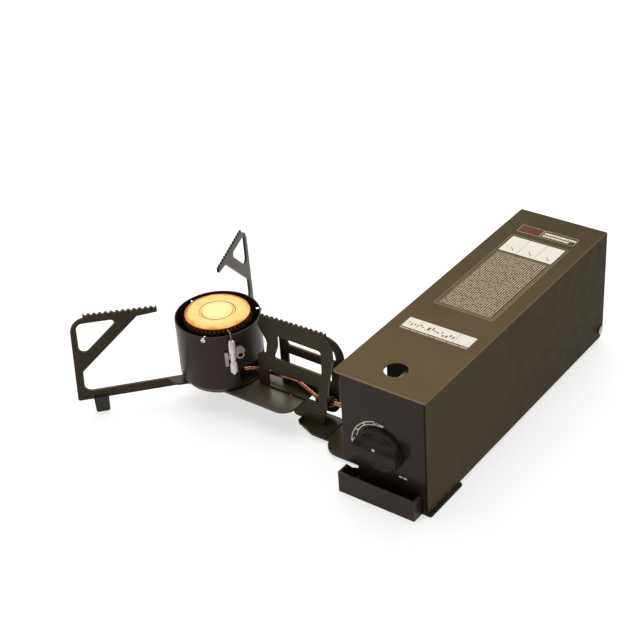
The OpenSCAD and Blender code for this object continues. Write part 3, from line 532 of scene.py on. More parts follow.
@dataclass(frozen=True)
class BurnerBrass(Finish):
    """Spun brass of the burner, pale in the middle and warmer and browner towards the flame."""

    middle: Colour = (0.9, 0.7, 0.5)
    rim: Colour = (0.7, 0.4, 0.15)
    scorch: Colour = (0.3, 0.15, 0.06)
    inner_mm: float = 6.0
    outer_mm: float = PLAN.cap_radius - 0.5
    patch_mm: float = 9.0
    patch_shift_mm: float = 3.0
    scorch_reach: Point = (-2.0, 1.2)  # from outer_mm
    scorch_share: float = 0.55
    rings_scale: float = 420.0
    rings_wobble: float = 0.6
    rings_depth: float = 0.02
    rings_strength: float = 0.25
    gloss_low: float = 0.4
    gloss_high: float = 0.5

    def wire(self, w: Wiring) -> None:
        """Builds the tint by distance from the burner's axis, and the spinning marks.

        Args:
            w: the material's wiring.
        """
        x, y = PLAN.burner_axis
        dx = w.math("SUBTRACT", w.axis_value("X"), x * MM)
        dy = w.math("SUBTRACT", w.axis_value("Y"), y * MM)
        away = w.math("SQRT", w.math("ADD", w.math("MULTIPLY", dx, dx), w.math("MULTIPLY", dy, dy)), 0.0)
        shift = self.patch_shift_mm * MM
        patchy = w.math("ADD", away, w.patches(self.patch_mm, 4.0, -shift, shift))
        tint = w.blend(w.spread(patchy, self.inner_mm * MM, self.outer_mm * MM), self.middle, self.rim)
        scorch_from, scorch_to = ((self.outer_mm + reach) * MM for reach in self.scorch_reach)
        burnt = w.spread(patchy, scorch_from, scorch_to, 0.0, self.scorch_share)
        rings = w.add("ShaderNodeTexWave", wave_type="RINGS", rings_direction="Z", wave_profile="SIN")
        rings.inputs["Scale"].default_value = self.rings_scale
        rings.inputs["Distortion"].default_value = self.rings_wobble
        centred = w.add("ShaderNodeMapping")
        centred.inputs["Location"].default_value = (-x * MM, -y * MM, 0.0)
        w.join(w.place, centred.inputs["Vector"])
        w.join(centred.outputs["Vector"], rings.inputs["Vector"])
        w.set(Base_Color=w.blend(burnt, tint, self.scorch), Metallic=1.0,
              Roughness=w.spread(rings.outputs["Fac"], 0.0, 1.0, self.gloss_low, self.gloss_high),
              Normal=w.emboss(rings.outputs["Fac"], self.rings_depth, self.rings_strength))


@dataclass(frozen=True)
class SparkPlugCeramic(Finish):
    """Glazed white ceramic that turns to bare wire above a height."""

    glaze: Colour = (0.85, 0.85, 0.82)
    soot: Colour = (0.5, 0.45, 0.4)
    wire_colour: Colour = (0.5, 0.48, 0.45)
    glaze_top: float = 73.5
    wire_clear: float = 0.05
    soot_reach: float = 8.0
    soot_share: float = 0.7
    soot_mm: float = 2.0
    gloss_low: float = 0.12
    gloss_high: float = 0.24
    gloss_patch_mm: float = 3.0
    glass: float = 0.4
    glass_gloss: float = 0.08

    def wire(self, w: Wiring) -> None:
        """Builds the glaze, its sooted upper end and the wire.

        Args:
            w: the material's wiring.
        """
        height = w.axis_value("Z")
        sooted = w.spread(height, (self.glaze_top - self.soot_reach) * MM, self.glaze_top * MM, 0.0,
                          self.soot_share)
        soot = w.math("MULTIPLY", sooted, w.noise(self.soot_mm, 4.0))
        glaze = w.blend(soot, self.glaze, self.soot)
        is_wire = w.math("GREATER_THAN", height, (self.glaze_top + self.wire_clear) * MM)
        w.set(Base_Color=w.blend(is_wire, glaze, self.wire_colour), Metallic=is_wire,
              Roughness=w.patches(self.gloss_patch_mm, 3.0, self.gloss_low, self.gloss_high),
              Coat_Weight=self.glass, Coat_Roughness=self.glass_gloss)


@dataclass(frozen=True)
class Moulding(Finish):
    """Moulded plastic or rubber with a fine spark-eroded texture."""

    colour: Colour = (0.02, 0.02, 0.02)
    # The edges' colour: scuffs, and on the knob partly a painted highlight.
    scuff_and_highlight: Colour = (0.05, 0.05, 0.05)
    gloss: float = 0.45
    grain_mm: float = 0.35
    shine: float = 0.35
    grain: float = 0.5
    grain_depth: float = 0.03
    scuff_mm: float = 0.5
    scuff_patch_mm: float = 2.4
    scuff_range: Point = (0.35, 0.65)
    mottle_mm: float = 11.0
    mottle_range: Point = (0.3, 0.8)
    mottle_share: float = 0.3
    gloss_patch_mm: float = 4.0
    gloss_drift: Point = (-0.05, 0.08)

    def wire(self, w: Wiring) -> None:
        """Builds the slight mottling, the texture and the lighter edges, which are scuffs and, on the knob,
        partly a painted highlight.

        Args:
            w: the material's wiring.
        """
        patchy = w.spread(w.noise(self.scuff_patch_mm, 4.0), *self.scuff_range)
        scuffs_and_highlight = w.math("MULTIPLY", w.edges(self.scuff_mm), patchy)
        mottle = w.spread(w.noise(self.mottle_mm, 3.0), *self.mottle_range, 0.0, self.mottle_share)
        mottled = w.blend(mottle, self.colour, self.scuff_and_highlight)
        low, high = (self.gloss + drift for drift in self.gloss_drift)
        w.set(Base_Color=w.blend(scuffs_and_highlight, mottled, self.scuff_and_highlight), Specular_IOR_Level=self.shine,
              Roughness=w.patches(self.gloss_patch_mm, 4.0, low, high),
              Normal=w.emboss(w.noise(self.grain_mm, 2.0), self.grain_depth, self.grain))


@dataclass(frozen=True)
class ScreenInk(Finish):
    """Screen-printed ink: flat, slightly uneven, thin in places."""

    colour: Colour = (0.8, 0.8, 0.8)
    thin: Colour = (0.6, 0.6, 0.6)
    gloss_low: float = 0.45
    gloss_high: float = 0.58
    gloss_patch_mm: float = 2.5
    shine: float = 0.08
    thin_mm: float = 1.3
    thin_range: Point = (0.4, 0.75)

    def wire(self, w: Wiring) -> None:
        """Builds the ink's unevenness.

        Args:
            w: the material's wiring.
        """
        thinned = w.spread(w.noise(self.thin_mm, 4.0), *self.thin_range)
        w.set(Base_Color=w.blend(thinned, self.colour, self.thin), Specular_IOR_Level=self.shine,
              Roughness=w.patches(self.gloss_patch_mm, 3.0, self.gloss_low, self.gloss_high))


@dataclass(frozen=True)
class StudioPaper(Finish):
    """Seamless translucent paper under the stove, lit from below."""

    colour: Colour = (0.85, 0.85, 0.85)
    glow: float = 0.65
    gloss: float = 0.9
    shine: float = 0.1
    fibre_mm: float = 60.0
    fibre_shade: float = 0.985

    def wire(self, w: Wiring) -> None:
        """Builds the paper's faint fibre.

        Args:
            w: the material's wiring.
        """
        fibre = w.patches(self.fibre_mm, 3.0, 0.0, 1.0)
        shaded = tuple(c * self.fibre_shade for c in self.colour)
        w.set(Base_Color=w.blend(fibre, self.colour, shaded), Roughness=self.gloss,
              Specular_IOR_Level=self.shine, Emission_Color=(1.0, 1.0, 1.0), Emission_Strength=self.glow)


# The cover's coat carries painted shade on its side wall and front edge, and a painted highlight on its
# bend.
CASE_COAT = CoverCoat("case_coat", srgb(86, 72, 47), srgb(82, 69, 44), srgb(158, 146, 116),
                      gloss_low=0.4, gloss_high=0.52, wear=0.9, shine=0.04, flank_shade=srgb(68, 58, 32),
                      edge=srgb(26, 21, 17), bend_highlight=srgb(150, 134, 102), rear_dark=srgb(22, 16, 4))
FRONT_COAT = PowderCoat("front_coat", srgb(42, 33, 27), srgb(38, 30, 25), srgb(78, 68, 60),
                        gloss_low=0.2, gloss_high=0.3, wear=0.3, shine=0.15, peel=0.05)
LIP_COAT = PowderCoat("lip_coat", srgb(50, 42, 37), srgb(45, 38, 34), srgb(124, 113, 100),
                      gloss_low=0.3, gloss_high=0.42, wear=0.9, shine=0.13, peel=0.2)
ARM_COAT = PowderCoat("arm_coat", srgb(55, 48, 35), srgb(49, 42, 31), srgb(118, 108, 86),
                      gloss_low=0.24, gloss_high=0.36, wear=0.5, shine=0.11, peel=0.2)
BASE_COAT = PowderCoat("base_coat", srgb(84, 77, 68), srgb(76, 70, 62), srgb(130, 120, 102),
                       gloss_low=0.24, gloss_high=0.36, wear=0.6, shine=0.22, peel=0.2)
CUP_COAT = PowderCoat("cup_coat", srgb(51, 41, 37), srgb(45, 37, 34), srgb(104, 92, 80),
                      gloss_low=0.24, gloss_high=0.36, wear=0.4, shine=0.14, peel=0.2)
# Painted shade: the valve bracket is coloured near black for the case's shade, with painted light on its
# top strip.
BRACKET_PAINTED_SHADE = PaintedShadeBracketCoat("bracket_painted_shade", srgb(22, 17, 13), srgb(20, 15, 12), srgb(60, 52, 44),
                           gloss_low=0.4, gloss_high=0.55, wear=0.2, shine=0.04, peel=0.1,
                           painted_light_strip=srgb(132, 128, 120), lit_strip_from=94.0)
CLIP_STEEL = BareMetal("clip_steel", srgb(176, 166, 162), srgb(118, 108, 104),
                       gloss_low=0.28, gloss_high=0.46)
ZINC = BareMetal("zinc_plate", srgb(190, 188, 180), srgb(150, 148, 142))
BRIGHT_STEEL = BareMetal("bright_steel", srgb(226, 224, 218), srgb(190, 186, 178),
                         gloss_low=0.14, gloss_high=0.28)
TURNED_BRASS = BareMetal("turned_brass", srgb(200, 165, 90), srgb(160, 126, 66))
COPPER = BareMetal("copper_pipe", srgb(226, 158, 124), srgb(160, 98, 70),
                   gloss_low=0.18, gloss_high=0.34, streak=(12.0, 1.0, 1.0))
GREY_UNION = BareMetal("dark_union", srgb(84, 78, 68), srgb(50, 46, 40), gloss_low=0.24, gloss_high=0.4)
ALUMINIUM = CastAlloy("cast_aluminium", srgb(120, 116, 108), srgb(82, 78, 72))
CAP_BRASS = BurnerBrass("cap_brass", srgb(218, 172, 124), srgb(200, 142, 80), srgb(110, 66, 30))
RING_BRASS = BurnerBrass("ring_brass", srgb(180, 128, 70), srgb(140, 94, 48), srgb(74, 48, 28),
                         inner_mm=12.0, outer_mm=27.0)
CERAMIC = SparkPlugCeramic("glazed_ceramic", srgb(236, 230, 230), srgb(150, 136, 126), srgb(112, 100, 94))
# The knob's lighter edges are partly scuffs and partly a painted highlight.
KNOB_PLASTIC = Moulding("knob_plastic", srgb(40, 33, 31), srgb(84, 76, 70),
                        gloss=0.26, grain_mm=0.4, shine=0.07, grain=0.12)
RUBBER = Moulding("foot_rubber", srgb(38, 35, 31), srgb(62, 58, 52), gloss=0.6, grain_mm=0.5)
IGNITER_PLASTIC = Moulding("igniter_plastic", srgb(36, 36, 40), srgb(60, 60, 64),
                           gloss=0.42, grain_mm=0.3)
PALE_INK = ScreenInk("pale_ink", srgb(222, 216, 204), srgb(196, 188, 172))
WHITE_INK = ScreenInk("white_ink", srgb(220, 216, 204), srgb(206, 202, 190))
TEXT_INK = ScreenInk("text_ink", srgb(196, 184, 156), srgb(160, 148, 120))
LINE_INK = ScreenInk("line_ink", srgb(164, 150, 118), srgb(136, 124, 96))
DARK_INK = ScreenInk("dark_ink", srgb(92, 84, 72), srgb(124, 116, 102))
RED_INK = ScreenInk("red_ink", srgb(104, 44, 34), srgb(84, 36, 28))
ROSE_INK = ScreenInk("rose_ink", srgb(190, 136, 124), srgb(200, 164, 152))
PAPER = StudioPaper("studio_paper", (0.42, 0.42, 0.42))


# ---- mesh building ------------------------------------------------------------------------------

def arc(centre: Point, radius: float, start: float, end: float, steps: int) -> list[Point]:
    """Points along an arc.

    Args:
        centre: the arc's centre.
        radius: its radius.
        start: the first angle, in degrees.
        end: the last angle, in degrees.
        steps: how many chords it has.

    Returns:
        The points, both ends among them.
    """
    angles = [math.radians(start + (end - start) * i / steps) for i in range(steps + 1)]
    return [(centre[0] + radius * math.cos(a), centre[1] + radius * math.sin(a)) for a in angles]


def rounded_box(x0: float, y0: float, x1: float, y1: float, radius: float, steps: int = 4) -> list[Point]:
    """Outline of a rectangle with round corners.

    Args:
        x0: its left edge.
        y0: its lower edge.
        x1: its right edge.
        y1: its upper edge.
        radius: the corners' radius.
        steps: the chords in each corner.

    Returns:
        The outline, counter-clockwise.
    """
    corners = [((x1 - radius, y0 + radius), -90), ((x1 - radius, y1 - radius), 0),
               ((x0 + radius, y1 - radius), 90), ((x0 + radius, y0 + radius), 180)]
    return [p for centre, start in corners for p in arc(centre, radius, start, start + 90, steps)]


class Sheet:
    """A mesh of thin solids laid on one plane, such as ink on a panel."""

    def __init__(self, origin: Vector, across: Vector, along: Vector, thickness: float) -> None:
        """Sets the plane.

        Args:
            origin: the plane's origin, in millimetres.
            across: the direction of the outlines' first coordinate.
            along: the direction of their second one.
            thickness: how thick the solids are, in millimetres.
        """
        self.bm = bmesh.new()
        self.origin, self.across, self.along = origin, across, along
        self.rise = across.cross(along) * thickness

    def corner(self, point: Point, top: bool) -> bmesh.types.BMVert:
        """Adds one corner on the plane or above it."""
        spot = self.origin + self.across * point[0] + self.along * point[1]
        return self.bm.verts.new((spot + self.rise if top else spot) * MM)

    def fill(self, outline: list[Point]) -> None:
        """Adds a solid within an outline.

        Args:
            outline: the points, counter-clockwise.
        """
        low = [self.corner(p, False) for p in outline]
        high = [self.corner(p, True) for p in outline]
        self.bm.faces.new(high)
        self.bm.faces.new(list(reversed(low)))
        for i, _ in enumerate(outline):
            j = (i + 1) % len(outline)
            self.bm.faces.new((low[i], low[j], high[j], high[i]))

    def block(self, x0: float, y0: float, x1: float, y1: float) -> None:
        """Adds a solid rectangle with square corners."""
        self.fill([(x0, y0), (x1, y0), (x1, y1), (x0, y1)])

    def ring(self, outer: list[Point], inner: list[Point]) -> None:
        """Adds a solid between two outlines with as many points.

        Args:
            outer: the outer points, counter-clockwise.
            inner: the inner points, counter-clockwise.
        """
        out_low, out_high, in_low, in_high = (
            [self.corner(point, top) for point in outline]
            for outline in (outer, inner) for top in (False, True))
        for i, _ in enumerate(outer):
            j = (i + 1) % len(outer)
            self.bm.faces.new((out_high[i], out_high[j], in_high[j], in_high[i]))
            self.bm.faces.new((out_low[j], out_low[i], in_low[i], in_low[j]))
            self.bm.faces.new((out_low[i], out_low[j], out_high[j], out_high[i]))
            self.bm.faces.new((in_low[j], in_low[i], in_high[i], in_high[j]))

    def border(self, x0: float, y0: float, x1: float, y1: float, line: float, radius: float) -> None:
        """Adds a rectangular outline drawn with a line of that width."""
        self.ring(rounded_box(x0, y0, x1, y1, radius),
                  rounded_box(x0 + line, y0 + line, x1 - line, y1 - line, max(radius - line, LEAST_CORNER)))

    def finish(self, name: str) -> bpy.types.Object:
        """Turns the solids into an object.

        Args:
            name: the piece's name.

        Returns:
            The new object.
        """
        return as_object(self.bm, name)


def as_object(bm: bmesh.types.BMesh, name: str) -> bpy.types.Object:
    """Makes an object of a finished bmesh.

    Args:
        bm: the mesh, which is freed.
        name: the object's name.

    Returns:
        The new object, linked to the scene.
    """
    bmesh.ops.recalc_face_normals(bm, faces=bm.faces[:])
    mesh = bpy.data.meshes.new(name)
    bm.to_mesh(mesh)
    bm.free()
    piece = bpy.data.objects.new(name, mesh)
    bpy.context.scene.collection.objects.link(piece)
    return piece


def smooth(piece: bpy.types.Object, degrees: float = 40.0) -> None:
    """Shades a piece smooth, except across edges sharper than an angle."""
    piece.data.shade_smooth()
    piece.data.set_sharp_from_angle(angle=math.radians(degrees))


def coat(piece: bpy.types.Object, finish: Finish) -> None:
    """Gives the whole piece one finish."""
    piece.data.materials.clear()
    piece.data.materials.append(finish.make())


def place(piece: bpy.types.Object, finish: Finish, body: str) -> bpy.types.Object:
    """Finishes a piece and lets it ride on its body.

    Args:
        piece: the piece.
        finish: what it is finished with.
        body: the body that carries it.

    Returns:
        The piece.
    """
    coat(piece, finish)
    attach(piece, body)
    log.info("made %s in %s", piece.name, finish.name)
    return piece


def lathe(bm: bmesh.types.BMesh, profile: list[Point], matrix: Matrix, steps: int = 24) -> None:
    """Turns a closed profile of (radius, height) about the z axis, ends on the axis included.

    Args:
        bm: the mesh that it is added to.
        profile: the points from the lower middle out and up to the upper middle, in millimetres.
        matrix: where the turned piece goes, in metres.
        steps: the number of sides.
    """
    turns = [2 * math.pi * k / steps for k in range(steps)]
    rings = []
    for radius, height in profile:
        around = turns if radius > 0 else turns[:1]
        spots = [Vector((radius * math.cos(a), radius * math.sin(a), height)) * MM for a in around]
        rings.append([bm.verts.new(matrix @ spot) for spot in spots])
    for low, high in zip(rings, rings[1:]):
        for k in range(steps):
            n = (k + 1) % steps
            if len(low) == 1:
                bm.faces.new((low[0], high[n], high[k]))
            elif len(high) == 1:
                bm.faces.new((low[k], low[n], high[0]))
            else:
                bm.faces.new((low[k], low[n], high[n], high[k]))


# ---- sub-assemblies -----------------------------------------------------------------------------

class SubAssembly(ABC):
    """One group of the stove's parts that comes off as a whole on the bench."""

    def build(self) -> None:
        """Builds the pieces that the frame doesn't have, where there are any."""

    @abstractmethod
    def dress(self) -> None:
        """Gives the frame's own parts their finish and broken edges."""

    @staticmethod
    def dress_part(node: str, finish: Finish, edge: EdgeBreak, degrees: float = 35.0) -> None:
        """Finishes one part of the frame.

        Args:
            node: the part's name.
            finish: what it is finished with.
            edge: how far its edges are broken.
            degrees: the sharpest turn that stays unbroken.
        """
        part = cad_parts[node]
        coat(part, finish)
        part.data.shade_smooth()
        weld = part.modifiers.new("weld", "WELD")
        weld.merge_threshold = WELD_REACH * MM
        bevel = part.modifiers.new("edge_break", "BEVEL")
        bevel.width = edge.value * MM
        bevel.segments = EDGE_SEGMENTS
        bevel.limit_method = "ANGLE"
        bevel.angle_limit = math.radians(degrees)
        bevel.use_clamp_overlap = True
        bevel.loop_slide = False
        normals = part.modifiers.new("even_shading", "WEIGHTED_NORMAL")
        normals.weight = FACE_WEIGHT
        normals.keep_sharp = False
        log.info("dressed %s in %s", node, finish.name)


@dataclass
class CaseCover(SubAssembly):
    """The bent cover with its prints."""

    ink: float = 0.01
    sunk: float = 0.005
    line: float = 0.6
    thin_line: float = 0.36
    title_box: Box = (-25.0, 240.9, 26.6, 252.8)
    title_split: float = -4.6
    title_corner: float = 1.2
    title_rows: tuple[Triple, ...] = ((247.0, 2.9, 28.0), (243.2, 2.5, 24.5))  # base, height, length
    title_inset: float = 2.2
    title_letter: Point = (1.3, 2.2)  # least and most
    title_gap: float = 0.45
    title_rest: float = 1.0  # too short for one more letter
    block_inset: Point = (2.0, 1.8)  # at the sides and at the ends
    block_corner: float = 0.8
    strip_box: Box = (-23.0, 208.0, 24.8, 232.2)
    strip_cells: int = 3
    strip_gap: float = 0.12
    stroke_at: float = 0.42
    # The dash's corners, from its place low in the cell.
    stroke: tuple[Point, ...] = ((0.0, 8.6), (4.6, 2.8), (5.6, 3.2), (1.0, 9.0))
    border_box: Box = (-25.0, 114.0, 26.9, 234.4)
    border_corner: float = 2.0
    notes_box: Box = (-22.6, 115.8, 25.2, 206.0)
    notes_corner: float = 0.6
    notes_margin: float = 1.6
    note_lines: int = 24
    note_share: float = 0.5
    letter: float = 1.1
    letter_gap: float = 0.35
    word_gap: float = 0.77
    word_letters: tuple[int, int] = (2, 8)  # least and most
    bar_box: Box = (-29.0, 75.2, 29.5, 88.4)
    bar_split: float = 15.8
    bar_gap: float = 0.15
    bar_notes: Point = (72.6, 74.1)  # lower and upper edge
    mark_inset: Point = (3.2, 3.0)  # left and right
    mark_width: Point = (0.5, 2.2)  # least and most, as in the next three
    mark_base: Point = (2.2, 6.4)
    mark_height: Point = (0.8, 4.4)
    mark_gap: Point = (0.9, 1.9)
    seed: int = 11

    def sheet(self, layer: int = 0) -> Sheet:
        """Gives a fresh sheet of ink on the cover's top.

        Args:
            layer: how many inks lie under it.

        Returns:
            The empty sheet.
        """
        plane = PLAN.case_top - self.sunk + layer * self.ink / 2
        return Sheet(Vector((0, 0, plane)), Vector((1, 0, 0)), Vector((0, 1, 0)), self.ink)

    def build(self) -> None:
        """Prints the generic blocks, frames and dashes on the top."""
        for part, draw, ink in (("frames", self.frames, LINE_INK), ("notes", self.notes, TEXT_INK),
                                ("title", self.title, PALE_INK), ("block", self.title_block, RED_INK),
                                ("white", self.whites, WHITE_INK), ("strokes", self.strokes, ROSE_INK),
                                ("marks", self.bar_marks, DARK_INK)):
            place(draw().finish(f"top_print_{part}"), ink, "cover")

    def frames(self) -> Sheet:
        """Draws the title's two cells and the thin borders of the printed field.

        Returns:
            The sheet of ink.
        """
        sheet = self.sheet()
        x0, y0, x1, y1 = self.title_box
        sheet.border(x0, y0, self.title_split, y1, self.line, self.title_corner)
        sheet.border(self.title_split + self.line, y0, x1, y1, self.line, self.title_corner)
        sheet.border(*self.border_box, self.thin_line, self.border_corner)
        sheet.border(*self.notes_box, self.thin_line, self.notes_corner)
        return sheet

    def words(self, dice: random.Random, length: float) -> list[Point]:
        """Splits one line of print into letter-sized dashes, grouped like words.

        Args:
            dice: where the word lengths come from.
            length: how long the line is.

        Returns:
            Where each dash starts and ends along the line.
        """
        dashes = []
        at = 0.0
        while at < length:
            for _ in range(dice.randint(*self.word_letters)):
                if at < length:
                    dashes.append((at, min(at + self.letter, length)))
                at += self.letter + self.letter_gap
            at += self.word_gap
        return dashes

    def notes(self) -> Sheet:
        """Fills the ruled field with close lines of dashes, and sets one line under the bar.

        Returns:
            The sheet of ink.
        """
        sheet = self.sheet()
        dice = random.Random(self.seed)
        x0, y0, x1, y1 = self.notes_box
        first, top = x0 + self.notes_margin, y1 - self.notes_margin
        pitch = (x1 - self.notes_margin - first) / self.note_lines
        for line in range(self.note_lines):
            x = first + line * pitch
            for start, end in self.words(dice, top - y0 - self.notes_margin):
                sheet.block(x, top - end, x + pitch * self.note_share, top - start)
        left, _, right, _ = self.bar_box
        low, high = self.bar_notes
        for start, end in self.words(dice, right - left):
            sheet.block(left + start, low, left + end, high)
        return sheet

    def title(self) -> Sheet:
        """Draws the two bold rows of dashes in the title's right cell.

        Returns:
            The sheet of ink.
        """
        sheet = self.sheet()
        dice = random.Random(self.seed + 1)
        left = self.title_split + self.title_inset
        for base, height, length in self.title_rows:
            x = left
            while x < left + length - self.title_rest:
                across = dice.uniform(*self.title_letter)
                sheet.block(x, base, min(x + across, left + length), base + height)
                x += across + self.title_gap
        return sheet

    def title_block(self) -> Sheet:
        """Draws the plain block in the title's left cell.

        Returns:
            The sheet of ink.
        """
        sheet = self.sheet()
        x0, y0, _, y1 = self.title_box
        side, end = self.block_inset
        sheet.fill(rounded_box(x0 + side, y0 + end, self.title_split - side, y1 - end,
                               self.block_corner))
        return sheet

    def whites(self) -> Sheet:
        """Draws the white strip of three cells and the white bar with its end cell.

        Returns:
            The sheet of ink.
        """
        sheet = self.sheet()
        x0, y0, x1, y1 = self.strip_box
        width = (x1 - x0) / self.strip_cells
        for cell in range(self.strip_cells):
            left = x0 + cell * width
            sheet.block(left + self.strip_gap, y0, left + width - self.strip_gap, y1)
        x0, y0, x1, y1 = self.bar_box
        sheet.block(x0, y0, self.bar_split - self.bar_gap, y1)
        sheet.block(self.bar_split + self.bar_gap, y0, x1, y1)
        return sheet

    def strokes(self) -> Sheet:
        """Draws one slanting dash low in each cell of the strip.

        Returns:
            The sheet of ink.
        """
        sheet = self.sheet(1)
        x0, y0, x1, _ = self.strip_box
        for cell in range(self.strip_cells):
            x = x0 + (cell + self.stroke_at) * (x1 - x0) / self.strip_cells
            sheet.fill([(x + across, y0 + up) for across, up in self.stroke])
        return sheet

    def bar_marks(self) -> Sheet:
        """Draws a few small dashes of several sizes on the bar.

        Returns:
            The sheet of ink.
        """
        sheet = self.sheet(1)
        dice = random.Random(self.seed + 3)
        left, low, _, _ = self.bar_box
        x = left + self.mark_inset[0]
        while x < self.bar_split - self.mark_inset[1]:
            across = dice.uniform(*self.mark_width)
            base = low + dice.uniform(*self.mark_base)
            sheet.block(x, base, x + across, base + dice.uniform(*self.mark_height))
            x += across + dice.uniform(*self.mark_gap)
        return sheet

    def dress(self) -> None:
        """Finishes the cover."""
        self.dress_part("cover", CASE_COAT, EdgeBreak.SHEET)


@dataclass(frozen=True)
class DialArc:
    """One edge of the dial's band, an arc on the front panel."""

    centre: Point
    radius: float
    start: float
    end: float

    def at(self, share: float, outward: float = 0.0) -> Point:
        """Finds a point of the arc.

        Args:
            share: how far along the arc it is, from 0 to 1.
            outward: how far outside the arc it lies, in millimetres.

        Returns:
            The point in (x, z).
        """
        turn = math.radians(self.start + (self.end - self.start) * share)
        reach = self.radius + outward
        return (self.centre[0] + reach * math.cos(turn), self.centre[1] + reach * math.sin(turn))

    def shares(self, start: float, end: float, inset: float, steps: int) -> list[float]:
        """Spaces points evenly between two places on the arc.

        Args:
            start: the first place, as a share of the arc.
            end: the last place, as a share of the arc.
            inset: how far both are set in along the arc, in millimetres.
            steps: how many steps lie between them.

        Returns:
            The points' shares of the arc.
        """
        trim = inset / (self.radius * math.radians(self.end - self.start))
        return [start + trim + (end - start - 2 * trim) * i / steps for i in range(steps + 1)]


@dataclass
class Chassis(SubAssembly):
    """Base plate, front and rear panels and what joins them, with the dial on the front."""

    outer: DialArc = DialArc((1.35, 42.4), 27.54, 102.9, 173.0)
    inner: DialArc = DialArc((-3.57, 48.66), 16.64, 94.2, 184.0)
    stroke: float = 0.8
    cell_gap: float = 0.05
    cells: int = 3
    ink: float = 0.02
    sunk: float = 0.005
    word_left: float = -4.2
    word_base: float = 65.6
    word_width: float = 7.5
    word_height: float = 2.6
    word_weight: float = 0.035
    arrow_tip: Point = (-25.0, 41.9)
    arrow_from: float = 1.02
    arrow_flare: float = 0.4
    dashes: tuple[Box, ...] = ((15.4, 26.4, 18.2, 27.8), (19.2, 26.4, 22.2, 27.8))

    def band_cell(self, start: float, end: float, inset: float, steps: int = 10) -> list[Point]:
        """Outline of one dial cell, set in from its edges.

        Args:
            start: where it starts along the band, from 0 to 1.
            end: where it ends along the band.
            inset: how far the outline is set in, in millimetres.
            steps: the chords along each side.

        Returns:
            The outline, counter-clockwise.
        """
        outer = [self.outer.at(share, -inset) for share in self.outer.shares(start, end, inset, steps)]
        inner = [self.inner.at(share, inset) for share in self.inner.shares(start, end, inset, steps)]
        return outer + inner[::-1]

    def sheet(self) -> Sheet:
        """Gives a fresh sheet of ink on the front panel's face."""
        face = Vector((0, PLAN.panel_front + self.sunk, 0))
        return Sheet(face, Vector((1, 0, 0)), Vector((0, 0, 1)), self.ink)

    def build(self) -> None:
        """Prints the dial's band, its arrow, two dashes and the word OFF."""
        dial = self.sheet()
        for cell in range(self.cells):
            ends = (cell / self.cells, (cell + 1) / self.cells)
            dial.ring(self.band_cell(*ends, self.cell_gap), self.band_cell(*ends, self.stroke))
        dial.fill([self.outer.at(self.arrow_from, self.arrow_flare), self.arrow_tip,
                   self.inner.at(self.arrow_from, -self.arrow_flare)])
        place(dial.finish("dial_print"), PALE_INK, "chassis")
        dashes = self.sheet()
        for dash in self.dashes:
            dashes.block(*dash)
        place(dashes.finish("panel_dashes"), PALE_INK, "chassis")
        self.word()

    def word(self) -> None:
        """Sets the word OFF beside the band as thin raised ink."""
        letters = bpy.data.curves.new("off_word", "FONT")
        letters.body = "OFF"
        letters.extrude = self.ink / 2 * MM
        letters.size = 1.0 * MM
        letters.offset = self.word_weight * MM
        source = bpy.data.objects.new("off_word_source", letters)
        bpy.context.scene.collection.objects.link(source)
        bpy.context.view_layer.update()
        mesh = bpy.data.meshes.new_from_object(source.evaluated_get(bpy.context.evaluated_depsgraph_get()))
        bpy.data.objects.remove(source)
        xs = [v.co.x for v in mesh.vertices]
        ys = [v.co.y for v in mesh.vertices]
        fit = Matrix.Diagonal((self.word_width * MM / (max(xs) - min(xs)),
                               self.word_height * MM / (max(ys) - min(ys)), 1.0, 1.0))
        mesh.transform(fit @ Matrix.Translation((-min(xs), -min(ys), 0)))
        mesh.transform(Matrix.Rotation(math.pi / 2, 4, "X"))
        middle = PLAN.panel_front - self.ink / 2 + self.sunk
        mesh.transform(Matrix.Translation(Vector((self.word_left, middle, self.word_base)) * MM))
        piece = bpy.data.objects.new("off_word", mesh)
        bpy.context.scene.collection.objects.link(piece)
        place(piece, PALE_INK, "chassis")

    def dress(self) -> None:
        """Finishes the sheets and the fasteners."""
        sheets = {"base_plate": LIP_COAT, "front_panel": FRONT_COAT, "rear_panel": FRONT_COAT,
                  "side_rail": FRONT_COAT, "cartridge_cradle": ZINC, "valve_bracket": BRACKET_PAINTED_SHADE}
        for node, finish in sheets.items():
            self.dress_part(node, finish, EdgeBreak.SHEET)
        for node in ("cover_hinge_pins", "valve_screws", "pivot_pin"):
            self.dress_part(node, ZINC, EdgeBreak.TURNED)
        self.dress_part("pivot_washer", TURNED_BRASS, EdgeBreak.FINE)


@dataclass
class ValveTrain(SubAssembly):
    """Valve body, regulator, collar, spindle, igniter and gas outlet, all of them in the frame."""

    def dress(self) -> None:
        """Finishes the castings and the turned parts."""
        for node in ("valve_body", "regulator_housing"):
            self.dress_part(node, ALUMINIUM, EdgeBreak.CAST)
        self.dress_part("cartridge_collar", ZINC, EdgeBreak.TURNED)
        for node in ("valve_spindle", "outlet_tube"):
            self.dress_part(node, TURNED_BRASS, EdgeBreak.TURNED)
        self.dress_part("piezo_igniter", IGNITER_PLASTIC, EdgeBreak.MOULDED)


@dataclass
class ControlKnob(SubAssembly):
    """The control knob with the paint fill in its mark."""

    mark_radius: float = 1.25
    mark_up: float = 5.0
    mark_face: float = -8.42
    # Each point is a share of the radius and a height.
    mark_dome: tuple[Point, ...] = ((0.0, 0.0), (1.0, 0.0), (0.97, 0.16), (0.6, 0.3), (0.0, 0.34))

    def build(self) -> None:
        """Fills the mark in the grip bar with a drop of pale paint."""
        bm = bmesh.new()
        turn = Matrix.Translation(Vector((0, self.mark_face, PLAN.knob_z + self.mark_up)) * MM)
        turn = turn @ Matrix.Rotation(math.pi / 2, 4, "X")
        lathe(bm, [(share * self.mark_radius, height) for share, height in self.mark_dome], turn)
        piece = as_object(bm, "knob_mark")
        smooth(piece)
        place(piece, PALE_INK, "knob")

    def dress(self) -> None:
        """Finishes the knob."""
        self.dress_part("knob", KNOB_PLASTIC, EdgeBreak.MOULDED)


